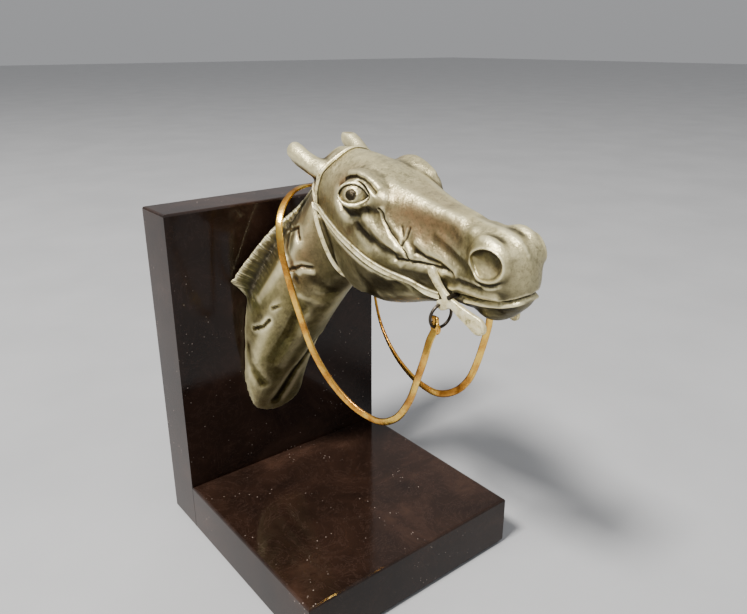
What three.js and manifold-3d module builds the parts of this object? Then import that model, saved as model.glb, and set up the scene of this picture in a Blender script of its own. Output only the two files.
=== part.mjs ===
// Bronze horse-head bookend: a bridled head and neck screwed to the front of an upright
// marble slab, with a second slab lying in front of it as the foot.
// Units are millimetres. +Z is up, the horse looks along -Y and its right side is on -X.
// The origin is on the table, under the middle of the two slabs' footprint.

import * as THREE from 'three';
import { mergeVertices } from 'three/addons/utils/BufferGeometryUtils.js';
import Module from 'manifold-3d';

const wasm = await Module();
wasm.setup();

// ---------- driving dimensions ----------

const SLAB_W = 112;            // both slabs, side to side
const SLAB_T = 23;             // upright slab, front to back
const TOP_Z = 160;             // top of the upright slab
const FOOT_D = 102;            // foot slab, front to back
const FOOT_TOP_Z = 25;         // top of the foot slab
const BEVEL = 1.0;             // polished arris on the slabs
const FELT_T = 0.8;            // felt sheet under both slabs
const FELT_INSET = 3;
const GAP = 0.3;               // clearance between touching pieces

const FACE_Y = (FOOT_D - SLAB_T) / 2;      // front face of the upright slab
const BACK_Y = FACE_Y + SLAB_T;            // rear face of the upright slab
const FRONT_Y = FACE_Y - FOOT_D;           // front face of the foot slab

const HEAD_L = 114.8;          // poll to lips
const POLL = [9.1, FACE_Y - 38.1, 187.1];
const HEAD_NOD = 6.7;          // degrees, nose down
const HEAD_YAW = -5;           // degrees, nose towards the horse's right
const HEAD_TILT = 7.5;         // degrees, right cheek down

const STRAP_W = 2.6;           // bridle straps
const STRAP_T = 1.0;
const SEAT_DEPTH = 0.25;       // how far a strap is let into the casting

const BIT_V = 10.0;            // bit cheeks at the mouth, from the head's middle plane
const BIT_TOE_IN = 8.4;        // degrees, the cheeks close in towards the lips
const BIT_T = 1.4;
const MOUTH_BAR_R = 0.9;
const RING_R = 4.8;            // bit ring, centre line
const RING_WIRE_R = 0.6;
const EYE_HOLE_R = 1.2;        // hole that the ring swings in
const REIN_W = 3.0;
const REIN_T = 1.2;
const REIN_EYE_R = 2.8;
const REIN_HOLE_R = 1.6;
const REIN_TONGUE = 4.5;       // the rein's end stands this far above its eye
const REIN_EYE_ANGLE = 60;     // where the rein hangs on the ring, degrees below level

const SCREW_R = 2.5;           // two screws hold the casting to the slab
const SCREW_CLEAR_R = 2.9;
const SCREW_HEAD_R = 4.5;
const SCREW_HEAD_T = 3.2;
const COUNTERBORE_R = 7;
const COUNTERBORE_D = 8;
const WASHER_R = 6;
const WASHER_T = 1.2;
const BOSS_R = 5.5;
const CASTING_WALL = 11;       // metal left round the hollow in the neck
const SCREW_REACH = 11;        // how far a screw enters its boss
const SCREWS = { lower: [-6, 84], upper: [-4, 110] };     // X and Z of each screw

const PIN_R = 3;               // two dowels join the slabs
const PIN_DEPTH = 11;
const PIN_X = 36;
const PIN_Z = 13;

// ---------- materials ----------

function metal(color, roughness, metalness = 1) {
  return new THREE.MeshStandardMaterial({ color, roughness, metalness });
}
const BRONZE = () => metal(0x7d7a60, 0.45);
const STRAP_BRONZE = () => metal(0x9a9676, 0.4);
const DARK_BRONZE = () => metal(0x3a352b, 0.5);
const GILT = () => metal(0xc58a3a, 0.3);
const STEEL = () => metal(0x8d8f92, 0.35);
const MARBLE = () => metal(0x2c211c, 0.12, 0);
const FELT = () => metal(0x2b2f2a, 0.95, 0);

// ---------- solids ----------

function toSolid(geometry) {
  const bare = geometry.clone();
  bare.deleteAttribute('normal');
  bare.deleteAttribute('uv');
  const merged = mergeVertices(bare, 1e-5);
  const mesh = new wasm.Mesh({
    numProp: 3,
    vertProperties: new Float32Array(merged.attributes.position.array),
    triVerts: new Uint32Array(merged.index.array),
  });
  return new wasm.Manifold(mesh);
}

function toGeometry(solid) {
  const mesh = solid.getMesh();
  const geometry = new THREE.BufferGeometry();
  geometry.setAttribute('position', new THREE.BufferAttribute(mesh.vertProperties, 3));
  geometry.setIndex(new THREE.BufferAttribute(mesh.triVerts, 1));
  return geometry;
}

function cut(solid, ...tools) {
  return tools.reduce((left, tool) => left.subtract(tool), solid);
}

function join(...solids) {
  return solids.reduce((left, right) => left.add(right));
}

/** Closed skin over rings of equal length, each ring a list of Vector3, with fan caps. */
function loft(rings) {
  const n = rings[0].length;
  const points = rings.flat();
  const middle = (ring) => ring.reduce((sum, p) => sum.clone().add(p), new THREE.Vector3()).divideScalar(n);
  const first = points.push(middle(rings[0])) - 1;
  const last = points.push(middle(rings.at(-1))) - 1;
  const faces = [];
  for (let k = 0; k + 1 < rings.length; k += 1) {
    for (let i = 0; i < n; i += 1) {
      const j = (i + 1) % n;
      const [a, b, c, d] = [k * n + i, k * n + j, (k + 1) * n + j, (k + 1) * n + i];
      faces.push(a, b, c, a, c, d);
    }
  }
  for (let i = 0; i < n; i += 1) {
    const j = (i + 1) % n;
    const end = (rings.length - 1) * n;
    faces.push(first, j, i, last, end + i, end + j);
  }
  const geometry = new THREE.BufferGeometry().setFromPoints(points);
  geometry.setIndex(faces);
  return toSolid(outward(geometry));
}

/** Turns a closed geometry's faces out if its volume comes out negative. */
function outward(geometry) {
  const p = geometry.attributes.position;
  const index = geometry.index.array;
  const [a, b, c] = [new THREE.Vector3(), new THREE.Vector3(), new THREE.Vector3()];
  let volume = 0;
  for (let i = 0; i < index.length; i += 3) {
    a.fromBufferAttribute(p, index[i]);
    b.fromBufferAttribute(p, index[i + 1]);
    c.fromBufferAttribute(p, index[i + 2]);
    volume += a.dot(b.cross(c));
  }
  if (volume < 0) {
    geometry.setIndex([...index].reverse());
  }
  return geometry;
}

/** A smooth closed ring of n points through the given Vector3s. */
function smoothRing(points, n) {
  const curve = new THREE.CatmullRomCurve3(points, true, 'centripetal');
  return Array.from({ length: n }, (_, i) => curve.getPoint(i / n));
}

/** Cylinder along Y from y0 to y1. */
function rodY(x, z, y0, y1, r, sides = 24) {
  const geometry = new THREE.CylinderGeometry(r, r, Math.abs(y1 - y0), sides);
  geometry.translate(x, (y0 + y1) / 2, z);
  return toSolid(geometry);
}

/** Block with bevelled edges between two corners. */
function bevelledBlock([x0, y0, z0], [x1, y1, z1], bevel) {
  const outline = new THREE.Shape([
    new THREE.Vector2(x0 + bevel, y0 + bevel),
    new THREE.Vector2(x1 - bevel, y0 + bevel),
    new THREE.Vector2(x1 - bevel, y1 - bevel),
    new THREE.Vector2(x0 + bevel, y1 - bevel),
  ]);
  const geometry = new THREE.ExtrudeGeometry(outline, {
    depth: z1 - z0 - 2 * bevel,
    bevelThickness: bevel,
    bevelSize: bevel,
    bevelSegments: 2,
  });
  geometry.translate(0, 0, z0 + bevel);
  return toSolid(geometry);
}

/** Strip of the given width and thickness along points, lying flat on the given normals. */
function ribbon(points, normals, width, thickness) {
  const rings = points.map((p, i) => {
    const ahead = points[Math.min(i + 1, points.length - 1)];
    const behind = points[Math.max(i - 1, 0)];
    const along = ahead.clone().sub(behind).normalize();
    const across = along.clone().cross(normals[i]).normalize();
    const up = across.clone().cross(along).normalize();
    const corner = (a, u) => p.clone().addScaledVector(across, a * width).addScaledVector(up, u * thickness);
    return [
      corner(-0.5, -0.3), corner(-0.38, -0.5), corner(0.38, -0.5), corner(0.5, -0.3),
      corner(0.5, 0.3), corner(0.38, 0.5), corner(-0.38, 0.5), corner(-0.5, 0.3),
    ];
  });
  return loft(rings);
}

// ---------- the head's own frame ----------
// Head coordinates: u from the poll to the lips, v to the horse's left, w up, in head lengths.

const headPose = new THREE.Matrix4().makeRotationFromEuler(new THREE.Euler(
  THREE.MathUtils.degToRad(HEAD_NOD),
  THREE.MathUtils.degToRad(-HEAD_TILT),
  THREE.MathUtils.degToRad(HEAD_YAW),
  'ZXY',
));
headPose.setPosition(...POLL);

function atHead(u, v, w) {
  return new THREE.Vector3(v, -u, w).multiplyScalar(HEAD_L).applyMatrix4(headPose);
}

function headDirection(u, v, w) {
  return new THREE.Vector3(v, -u, w).transformDirection(headPose);
}

/** Places a solid built at the head's origin (X left, -Y to the lips, Z up) in millimetres. */
function placeOnHead(geometry) {
  return toSolid(geometry.applyMatrix4(headPose));
}

// Head stations: u, top line w, bottom line w, then half widths at five levels from top to bottom.
const HEAD_LEVELS = [0.06, 0.27, 0.52, 0.78, 0.95];
const HEAD_STATIONS = [
  [0.00, 0.000, -0.370, 0.045, 0.115, 0.130, 0.105, 0.050],
  [0.08, 0.014, -0.420, 0.060, 0.130, 0.144, 0.125, 0.065],
  [0.17, 0.022, -0.468, 0.075, 0.140, 0.156, 0.138, 0.078],
  [0.26, 0.022, -0.492, 0.090, 0.152, 0.160, 0.140, 0.082],
  [0.34, 0.016, -0.490, 0.098, 0.158, 0.158, 0.134, 0.078],
  [0.42, 0.004, -0.464, 0.088, 0.140, 0.150, 0.120, 0.070],
  [0.50, -0.008, -0.426, 0.074, 0.114, 0.136, 0.104, 0.062],
  [0.58, -0.018, -0.384, 0.060, 0.094, 0.112, 0.098, 0.062],
  [0.66, -0.024, -0.348, 0.050, 0.077, 0.088, 0.082, 0.056],
  [0.74, -0.028, -0.318, 0.046, 0.071, 0.081, 0.075, 0.048],
  [0.81, -0.028, -0.314, 0.046, 0.076, 0.086, 0.076, 0.046],
  [0.88, -0.026, -0.322, 0.048, 0.086, 0.092, 0.074, 0.042],
  [0.93, -0.036, -0.298, 0.044, 0.080, 0.086, 0.068, 0.036],
  [0.965, -0.060, -0.258, 0.034, 0.062, 0.068, 0.056, 0.030],
  [0.99, -0.104, -0.214, 0.020, 0.036, 0.040, 0.034, 0.018],
];

/** One head station at any u, straight between its neighbours. */
function station(u) {
  const last = HEAD_STATIONS.length - 1;
  const k = Math.max(1, HEAD_STATIONS.findIndex((row) => row[0] >= u));
  const high = HEAD_STATIONS[u > HEAD_STATIONS[last][0] ? last : k];
  const low = HEAD_STATIONS[HEAD_STATIONS.indexOf(high) - 1];
  const t = THREE.MathUtils.clamp((u - low[0]) / (high[0] - low[0]), 0, 1);
  return high.map((value, i) => THREE.MathUtils.lerp(low[i], value, t));
}

/** Half width of the head at u and height w. */
function halfWidth(u, w) {
  const [, top, bottom, ...widths] = station(u);
  const level = THREE.MathUtils.clamp((top - w) / (top - bottom), 0, 1);
  const levels = [0, ...HEAD_LEVELS, 1];
  const values = [0, ...widths, 0];
  const k = Math.max(1, levels.findIndex((value) => value >= level));
  const t = (level - levels[k - 1]) / (levels[k] - levels[k - 1]);
  return THREE.MathUtils.lerp(values[k - 1], values[k], t);
}

function headRing(u, sides) {
  const [, top, bottom, ...widths] = station(u);
  const at = (i, side) => atHead(u, side * widths[i], top + (bottom - top) * HEAD_LEVELS[i]);
  const right = widths.map((_, i) => at(i, -1));
  const left = widths.map((_, i) => at(i, 1)).reverse();
  return smoothRing([atHead(u, 0, top), ...right, atHead(u, 0, bottom), ...left], sides);
}

function makeHead() {
  return loft(HEAD_STATIONS.map(([u]) => headRing(u, 36)));
}

// ---------- neck ----------
// Sections in planes parallel to the slab: distance in front of it, then X and Z of ten points
// from the crest down the right side, round the throat and up the left side.

const NECK_SECTIONS = [
  [-1, [-18, 117], [-20.5, 107], [-22.5, 88], [-23, 68], [-18, 55],
    [-3, 50.5], [8, 55], [12.5, 68], [16, 92], [3, 117]],
  [5, [-14.5, 129], [-19.5, 117], [-22.5, 97], [-22.5, 77], [-16, 64],
    [-4, 61], [5, 65], [9, 77], [15, 101], [5, 125]],
  [12, [-7.5, 143], [-15, 130], [-20.5, 108], [-20.5, 91], [-12, 78],
    [-1, 75.5], [6, 80], [11, 92], [16, 114], [8, 136]],
  [20, [2, 158], [-9, 145], [-17, 122], [-16, 106], [-8, 94],
    [1, 91], [8.5, 95], [14, 108], [20, 128], [12, 150]],
  [30, [6.5, 174], [-3, 162], [-10.5, 142], [-9, 124], [-4, 111],
    [3.5, 107], [11, 111], [17.5, 124], [23, 144], [15, 166]],
  [40, [9, 186], [1, 177], [-4.5, 156], [-3, 138], [2, 126],
    [8, 122.5], [15.5, 126.5], [21.5, 140], [26, 159], [18, 178]],
  [52, [9, 176], [4, 170], [-1, 156], [0, 144], [5, 134],
    [10, 132], [17, 135], [21, 145], [23, 157], [16, 170]],
];

function neckRing([front, ...outline], inset, sides) {
  const middle = outline.reduce(([x, z], p) => [x + p[0] / 10, z + p[1] / 10], [0, 0]);
  const drawnIn = ([x, z]) => {
    const away = new THREE.Vector2(x - middle[0], z - middle[1]);
    away.setLength(away.length() - inset);
    return new THREE.Vector3(middle[0] + away.x, FACE_Y - front, middle[1] + away.y);
  };
  return smoothRing(outline.map(drawnIn), sides);
}

function makeNeck() {
  return loft(NECK_SECTIONS.map((section) => neckRing(section, 0, 36)));
}

/** The core of the hollow casting, open at the back, less the two screw bosses. */
function makeCore() {
  const rings = NECK_SECTIONS.slice(0, 4).map((section) => neckRing(section, CASTING_WALL, 20));
  const depth = NECK_SECTIONS[3][0] + 1;
  const bosses = Object.values(SCREWS).map(([x, z]) => rodY(x, z, FACE_Y + 5, FACE_Y - depth, BOSS_R, 16));
  return cut(loft(rings), ...bosses);
}

// Hogged mane: root and edge of a thin fin along the crest, as X, distance in front, Z.
const MANE_ROOT = [[-16, 0, 112], [-12, 6, 126], [-5, 13, 140], [3, 20, 154], [6, 27, 166]];
const MANE_EDGE = [[-28, 0.4, 125], [-20, 4, 136], [-9, 10, 149.5], [1, 17, 159.5], [5.5, 24, 169]];
const MANE_HALF_T = 2.2;

function makeMane() {
  const inFront = ([x, front, z]) => new THREE.Vector3(x, FACE_Y - front, z);
  const curve = (rows) => new THREE.CatmullRomCurve3(rows.map(inFront));
  const [root, edge] = [curve(MANE_ROOT), curve(MANE_EDGE)];
  const side = new THREE.Vector3(0.75, 0.5, -0.45).normalize();
  const rings = Array.from({ length: 9 }, (_, i) => {
    const [low, high] = [root.getPoint(i / 8), edge.getPoint(i / 8)];
    const middle = low.clone().lerp(high, 0.55);
    const out = (p, k) => p.clone().addScaledVector(side, k * MANE_HALF_T);
    return [out(low, -1), out(middle, -1), out(high, -0.35), out(high, 0.35), out(middle, 1), out(low, 1)];
  });
  return loft(rings);
}

/** Ear laid back from its base beside the poll: a cupped cone of flattened rings. */
function makeEar(side) {
  const spine = new THREE.CatmullRomCurve3([
    atHead(0.06, side * 0.080, -0.10),
    atHead(0.00, side * 0.100, -0.070),
    atHead(-0.07, side * 0.118, -0.050),
    atHead(-0.13, side * 0.120, -0.035),
    atHead(-0.18, side * 0.118, -0.030),
  ]);
  const half = [[4.4, 4.2], [5.4, 4.5], [5.4, 4.0], [4.2, 3.0], [1.4, 1.0]];
  const rings = half.map(([wide, deep], i) => {
    const centre = spine.getPoint(i / 4);
    const along = spine.getTangent(i / 4);
    const out = headDirection(0, side, 0.35);
    const across = along.clone().cross(out).normalize();
    const round = across.clone().cross(along).normalize();
    return Array.from({ length: 12 }, (_, k) => {
      const angle = (k / 12) * 2 * Math.PI;
      return centre.clone()
        .addScaledVector(across, wide * Math.cos(angle))
        .addScaledVector(round, deep * Math.sin(angle));
    });
  });
  return loft(rings);
}

/** Ellipsoid on the head: centre in head lengths, half sizes in mm along left, forward, up. */
function bump(u, v, w, [left, forward, up], sides = 14) {
  const geometry = new THREE.SphereGeometry(1, sides, sides / 2);
  geometry.scale(left, forward, up);
  geometry.translate(v * HEAD_L, -u * HEAD_L, w * HEAD_L);
  return placeOnHead(geometry);
}

// ---------- bridle ----------

/** Points and outward normals on the right or left cheek, from rows of u and w. */
function onCheek(rows, side, lift) {
  const curve = new THREE.CatmullRomCurve3(rows.map(([u, w]) => new THREE.Vector3(u, 0, w)));
  const points = [];
  const normals = [];
  for (let i = 0; i <= 12; i += 1) {
    const { x: u, z: w } = curve.getPoint(i / 12);
    const step = 0.02;
    const rise = (halfWidth(u, w + step) - halfWidth(u, w - step)) / (2 * step);
    const run = (halfWidth(u + step, w) - halfWidth(u - step, w)) / (2 * step);
    const normal = headDirection(-run, side, -rise);
    points.push(atHead(u, side * halfWidth(u, w), w).addScaledVector(normal, lift));
    normals.push(normal);
  }
  return [points, normals];
}

const CHEEK_ROWS = [
  [0.045, -0.196], [0.113, -0.215], [0.203, -0.232], [0.298, -0.246], [0.379, -0.259],
  [0.453, -0.274], [0.52, -0.286], [0.60, -0.292], [0.668, -0.290],
];
const JUNCTION_W = -0.165;
const STRAP_LIFT = STRAP_T / 2 - SEAT_DEPTH;

/** A band over or under the head between the two junctions; rows are u, half spread v, w. */
function overHead(rows) {
  const right = rows.map(([u, v, w]) => atHead(u, -v, w));
  const left = rows.map(([u, v, w]) => atHead(u, v, w)).reverse();
  const path = new THREE.CatmullRomCurve3([...right, ...left.slice(1)], false, 'centripetal');
  const middle = atHead(rows.at(-1)[0], 0, JUNCTION_W);
  const points = path.getSpacedPoints(32);
  const normals = points.map((p, i) => {
    const along = path.getTangentAt(i / 32);
    const out = p.clone().sub(middle);
    return out.addScaledVector(along, -out.dot(along)).normalize();
  });
  return [points, normals];
}

const STRAPS = {
  cheek_strap_right: () => onCheek(CHEEK_ROWS, -1, STRAP_LIFT),
  cheek_strap_left: () => onCheek(CHEEK_ROWS, 1, STRAP_LIFT),
  brow_band: () => overHead([
    [0.045, 0.139, -0.125], [0.05, 0.132, -0.075], [0.065, 0.100, -0.025],
    [0.085, 0.052, 0.008], [0.09, 0, 0.018],
  ]),
  throat_latch: () => overHead([
    [0.025, 0.139, -0.215], [0.06, 0.134, -0.31], [0.11, 0.112, -0.41],
    [0.155, 0.060, -0.458], [0.17, 0, -0.470],
  ]),
  crown_strap: () => overHead([
    [0.008, 0.136, -0.160], [-0.02, 0.120, -0.142], [-0.038, 0.090, -0.118],
    [-0.045, 0.045, -0.092], [-0.048, 0, -0.082],
  ]),
};

function strap(name, grow = 0) {
  const [points, normals] = STRAPS[name]();
  return ribbon(points, normals, STRAP_W + 2 * grow, STRAP_T + 2 * grow);
}

// ---------- bit ----------
// The bit is worked out in millimetres in the head's frame: X left, Y back, Z up.

const MOUTH_CORNER = [0.752, -0.268];
const RING_U = 0.712;
const RING_W = -0.350;
const ringTop = RING_W * HEAD_L + RING_R;
const toeIn = Math.tan(THREE.MathUtils.degToRad(BIT_TOE_IN));
const ringV = BIT_V + toeIn * (MOUTH_CORNER[0] - RING_U) * HEAD_L;

/** A plate in the head's fore-and-aft plane, from an outline of [u, w], with round holes. */
function sidePlate(outline, holes, side, thickness) {
  const flat = ([u, w]) => new THREE.Vector2(-(u - MOUTH_CORNER[0]) * HEAD_L, w * HEAD_L);
  const edge = new THREE.SplineCurve([...outline, outline[0]].map(flat)).getPoints(44).slice(0, -1);
  const shape = new THREE.Shape(edge);
  for (const [u, w, r] of holes) {
    const at = flat([u, w]);
    const hole = new THREE.Path();
    hole.absarc(at.x, at.y, r, 0, 2 * Math.PI, true);
    shape.holes.push(hole);
  }
  const geometry = new THREE.ExtrudeGeometry(shape, {
    depth: thickness,
    bevelEnabled: false,
    curveSegments: 10,
  });
  const standUp = new THREE.Matrix4().makeBasis(
    new THREE.Vector3(0, 1, 0),
    new THREE.Vector3(0, 0, 1),
    new THREE.Vector3(1, 0, 0),
  );
  geometry.translate(0, 0, -thickness / 2);
  geometry.applyMatrix4(standUp);
  geometry.rotateZ(-side * THREE.MathUtils.degToRad(BIT_TOE_IN));
  geometry.translate(side * BIT_V, -MOUTH_CORNER[0] * HEAD_L, 0);
  return placeOnHead(geometry);
}

/** Bit cheek: a tapering lever, broad at both ends, with a boss at the mouth and a lug for the ring. */
function makeBitCheek(side) {
  const outline = [
    [0.669, -0.200], [0.688, -0.190], [0.706, -0.197], [0.714, -0.220], [0.731, -0.240],
    [0.763, -0.251], [0.786, -0.272], [0.830, -0.290], [0.873, -0.297], [0.886, -0.312],
    [0.873, -0.336], [0.849, -0.346], [0.819, -0.334], [0.783, -0.316], [0.756, -0.304],
    [0.736, -0.328], [0.710, -0.334], [0.688, -0.320], [0.688, -0.296], [0.714, -0.280],
    [0.713, -0.264], [0.690, -0.248], [0.668, -0.224],
  ];
  const eye = [RING_U, ringTop / HEAD_L, EYE_HOLE_R];
  const seat = [...MOUTH_CORNER, MOUTH_BAR_R + GAP];
  return sidePlate(outline, [eye, seat], side, BIT_T);
}

/** Rod across the head at u and w, from v0 to v1 in millimetres. */
function rodAcross(u, w, v0, v1, r, sides = 20) {
  const geometry = new THREE.CylinderGeometry(r, r, v1 - v0, sides);
  geometry.rotateZ(Math.PI / 2);
  geometry.translate((v0 + v1) / 2, -u * HEAD_L, w * HEAD_L);
  return placeOnHead(geometry);
}

function makeMouthpiece() {
  const reach = BIT_V + BIT_T / 2 + 0.4;
  return rodAcross(...MOUTH_CORNER, -reach, reach, MOUTH_BAR_R);
}

function makeRing(side) {
  const geometry = new THREE.TorusGeometry(RING_R, RING_WIRE_R, 8, 28);
  geometry.rotateX(Math.PI / 2);
  geometry.translate(side * ringV, -RING_U * HEAD_L, RING_W * HEAD_L);
  return placeOnHead(geometry);
}

// ---------- rein ----------
// Route of the flat rein from the right bit ring, down and back past the neck, over the crest
// behind the ears and down the other side: X, distance in front of the slab, Z.

const REIN_ROUTE = [
  [-6.6, 112.3, 127.5], [-8.4, 112.0, 121.5], [-7.6, 107.4, 110.5], [-6.3, 101.5, 98], [-6.0, 93, 86.5],
  [-6.0, 82, 80.5], [-8.0, 70.5, 81.6], [-11.0, 58, 89], [-14.0, 47.5, 102], [-16.3, 41, 118],
  [-18.0, 36, 133], [-18.5, 31.5, 147], [-16.0, 27.5, 157.5], [-10.0, 23.5, 164], [-3.0, 21, 167.6],
  [4.5, 20.5, 168.6], [12.0, 21.5, 166.5], [20.0, 25, 160.5], [26.5, 30, 148], [28.0, 35, 132],
  [26.5, 39.5, 117], [24.3, 46.5, 106], [22.0, 56.5, 98], [19.8, 69, 92.4], [18.6, 82, 89.4],
  [18.4, 92, 89.6], [19.4, 101, 93.9], [20.1, 107.5, 101.4], [20.3, 111, 109.5], [21.2, 113, 118],
  [22.0, 114.8, 128],
];
const CREST_X = 4.5;

function reinEye(side) {
  const angle = THREE.MathUtils.degToRad(REIN_EYE_ANGLE);
  const v = ringV + RING_R * Math.cos(angle);
  const w = RING_W * HEAD_L - RING_R * Math.sin(angle);
  return new THREE.Vector3(side * v, -RING_U * HEAD_L, w);
}

/** Which way the rein's flat face looks: outwards at its ends, up where it rides the crest. */
function reinFacing({ x, y, z }) {
  const onCrest = THREE.MathUtils.smoothstep(z, 148, 166);
  const turned = 1 - THREE.MathUtils.smoothstep(FACE_Y - y, 60, 100);
  const side = x < CREST_X ? -1 : 1;
  return new THREE.Vector3(side * (1 - onCrest), -0.7 * turned * (1 - onCrest), onCrest).normalize();
}

function makeRein() {
  const [right, left] = [-1, 1].map((side) => [
    reinEye(side).add(new THREE.Vector3(0, 0, REIN_TONGUE)).applyMatrix4(headPose),
    reinEye(side).applyMatrix4(headPose),
  ]);
  const route = REIN_ROUTE.map(([x, front, z]) => new THREE.Vector3(x, FACE_Y - front, z));
  const path = new THREE.CatmullRomCurve3([...right, ...route, ...left.reverse()], false, 'centripetal');
  const points = path.getSpacedPoints(86);
  const band = ribbon(points, points.map(reinFacing), REIN_W, REIN_T);
  const ends = [-1, 1].map((side) => {
    const at = reinEye(side);
    const disc = new THREE.CylinderGeometry(REIN_EYE_R, REIN_EYE_R, REIN_T, 20);
    disc.rotateZ(Math.PI / 2);
    disc.translate(at.x, at.y, at.z);
    return placeOnHead(disc);
  });
  const holes = [-1, 1].map((side) => {
    const { x, y, z } = reinEye(side);
    return rodAcross(-y / HEAD_L, z / HEAD_L, x - REIN_W, x + REIN_W, REIN_HOLE_R, 16);
  });
  return cut(join(band, ...ends), ...holes);
}

// ---------- slabs, felt and fixings ----------

const SLAB_Z0 = FELT_T + GAP;
const COUNTERBORE_Y = BACK_Y - COUNTERBORE_D;

function makeUprightSlab() {
  const block = bevelledBlock([-SLAB_W / 2, FACE_Y, SLAB_Z0], [SLAB_W / 2, BACK_Y, TOP_Z], BEVEL);
  const screwHoles = Object.values(SCREWS).flatMap(([x, z]) => [
    rodY(x, z, FACE_Y - 1, BACK_Y + 1, SCREW_CLEAR_R),
    rodY(x, z, COUNTERBORE_Y, BACK_Y + 1, COUNTERBORE_R, 32),
  ]);
  const pinHoles = [-PIN_X, PIN_X].map((x) => rodY(x, PIN_Z, FACE_Y - 1, FACE_Y + PIN_DEPTH, PIN_R + GAP));
  return cut(block, ...screwHoles, ...pinHoles);
}

function makeFootSlab() {
  const block = bevelledBlock([-SLAB_W / 2, FRONT_Y, SLAB_Z0], [SLAB_W / 2, FACE_Y - GAP, FOOT_TOP_Z], BEVEL);
  const pinHoles = [-PIN_X, PIN_X].map((x) => rodY(x, PIN_Z, FACE_Y + 1, FACE_Y - PIN_DEPTH, PIN_R + GAP));
  return cut(block, ...pinHoles);
}

function makeFelt() {
  const [w, y0, y1] = [SLAB_W / 2 - FELT_INSET, FRONT_Y + FELT_INSET, BACK_Y - FELT_INSET];
  const geometry = new THREE.BoxGeometry(2 * w, y1 - y0, FELT_T);
  geometry.translate(0, (y0 + y1) / 2, FELT_T / 2);
  return toSolid(geometry);
}

function makePin(x) {
  const reach = PIN_DEPTH - 0.5;
  return rodY(x, PIN_Z, FACE_Y - reach, FACE_Y + reach, PIN_R, 20);
}

function makeWasher([x, z]) {
  const y0 = COUNTERBORE_Y + GAP;
  const disc = rodY(x, z, y0, y0 + WASHER_T, WASHER_R, 32);
  return cut(disc, rodY(x, z, y0 - 1, y0 + WASHER_T + 1, SCREW_CLEAR_R));
}

/** Socket-headed machine screw, driven from behind the slab into the casting's boss. */
function makeScrew([x, z]) {
  const seat = COUNTERBORE_Y + WASHER_T + 2 * GAP;
  const shank = rodY(x, z, FACE_Y - SCREW_REACH, seat + 1, SCREW_R, 20);
  const head = rodY(x, z, seat, seat + SCREW_HEAD_T, SCREW_HEAD_R, 28);
  const socket = rodY(x, z, seat + 1.2, seat + SCREW_HEAD_T + 1, 2.3, 6);
  return cut(join(shank, head), socket);
}

// ---------- the casting ----------

function makeNostril(side) {
  return bump(0.905, side * 0.100, -0.098, [3.4, 4.6, 4.2]);
}

function makeMouthSlit() {
  const geometry = new THREE.SphereGeometry(1, 20, 8);
  geometry.scale(13, 13.5, 0.7);
  geometry.rotateX(THREE.MathUtils.degToRad(-14));
  geometry.translate(0, -0.905 * HEAD_L, -0.207 * HEAD_L);
  return placeOnHead(geometry);
}

function makeCasting() {
  const sides = [-1, 1];
  const brows = sides.map((side) => bump(0.325, side * 0.112, -0.032, [5.5, 10, 4.6]));
  const eyes = sides.map((side) => bump(0.300, side * 0.132, -0.075, [4.2, 5.5, 4.4]));
  const body = join(makeHead(), makeNeck(), makeMane(), ...sides.map(makeEar), ...brows, ...eyes);
  const behind = new THREE.BoxGeometry(200, 40, 300);
  behind.translate(0, FACE_Y - GAP + 20, 120);
  const tapped = Object.values(SCREWS).map(([x, z]) => (
    rodY(x, z, FACE_Y + 1, FACE_Y - SCREW_REACH - 1.5, SCREW_R + 0.15, 20)
  ));
  const seats = Object.keys(STRAPS).map((name) => strap(name, GAP));
  return cut(
    body,
    toSolid(behind),
    makeCore(),
    ...tapped,
    ...seats,
    ...sides.map(makeNostril),
    makeMouthSlit(),
    rodAcross(...MOUTH_CORNER, -25, 25, MOUTH_BAR_R + GAP),
  );
}

// ---------- assembly ----------

const bookend = new THREE.Group();

function place(name, solid, material) {
  const mesh = new THREE.Mesh(toGeometry(solid), material);
  mesh.name = name;
  bookend.add(mesh);
}

place('upright_slab', makeUprightSlab(), MARBLE());
place('foot_slab', makeFootSlab(), MARBLE());
place('felt_sheet', makeFelt(), FELT());
place('dowel_right', makePin(-PIN_X), STEEL());
place('dowel_left', makePin(PIN_X), STEEL());
for (const [name, at] of Object.entries(SCREWS)) {
  place(`neck_screw_${name}`, makeScrew(at), STEEL());
  place(`neck_washer_${name}`, makeWasher(at), STEEL());
}

place('horse_casting', makeCasting(), BRONZE());
for (const name of Object.keys(STRAPS)) {
  place(name, strap(name), STRAP_BRONZE());
}

place('bit_mouthpiece', makeMouthpiece(), DARK_BRONZE());
for (const [name, side] of [['right', -1], ['left', 1]]) {
  place(`bit_cheek_${name}`, makeBitCheek(side), STRAP_BRONZE());
  place(`bit_ring_${name}`, makeRing(side), DARK_BRONZE());
}
place('rein', makeRein(), GILT());

export default bookend;
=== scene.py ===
import math

import bmesh
import bpy
import numpy as np
from mathutils import Matrix, Vector
from mathutils.bvhtree import BVHTree


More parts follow.
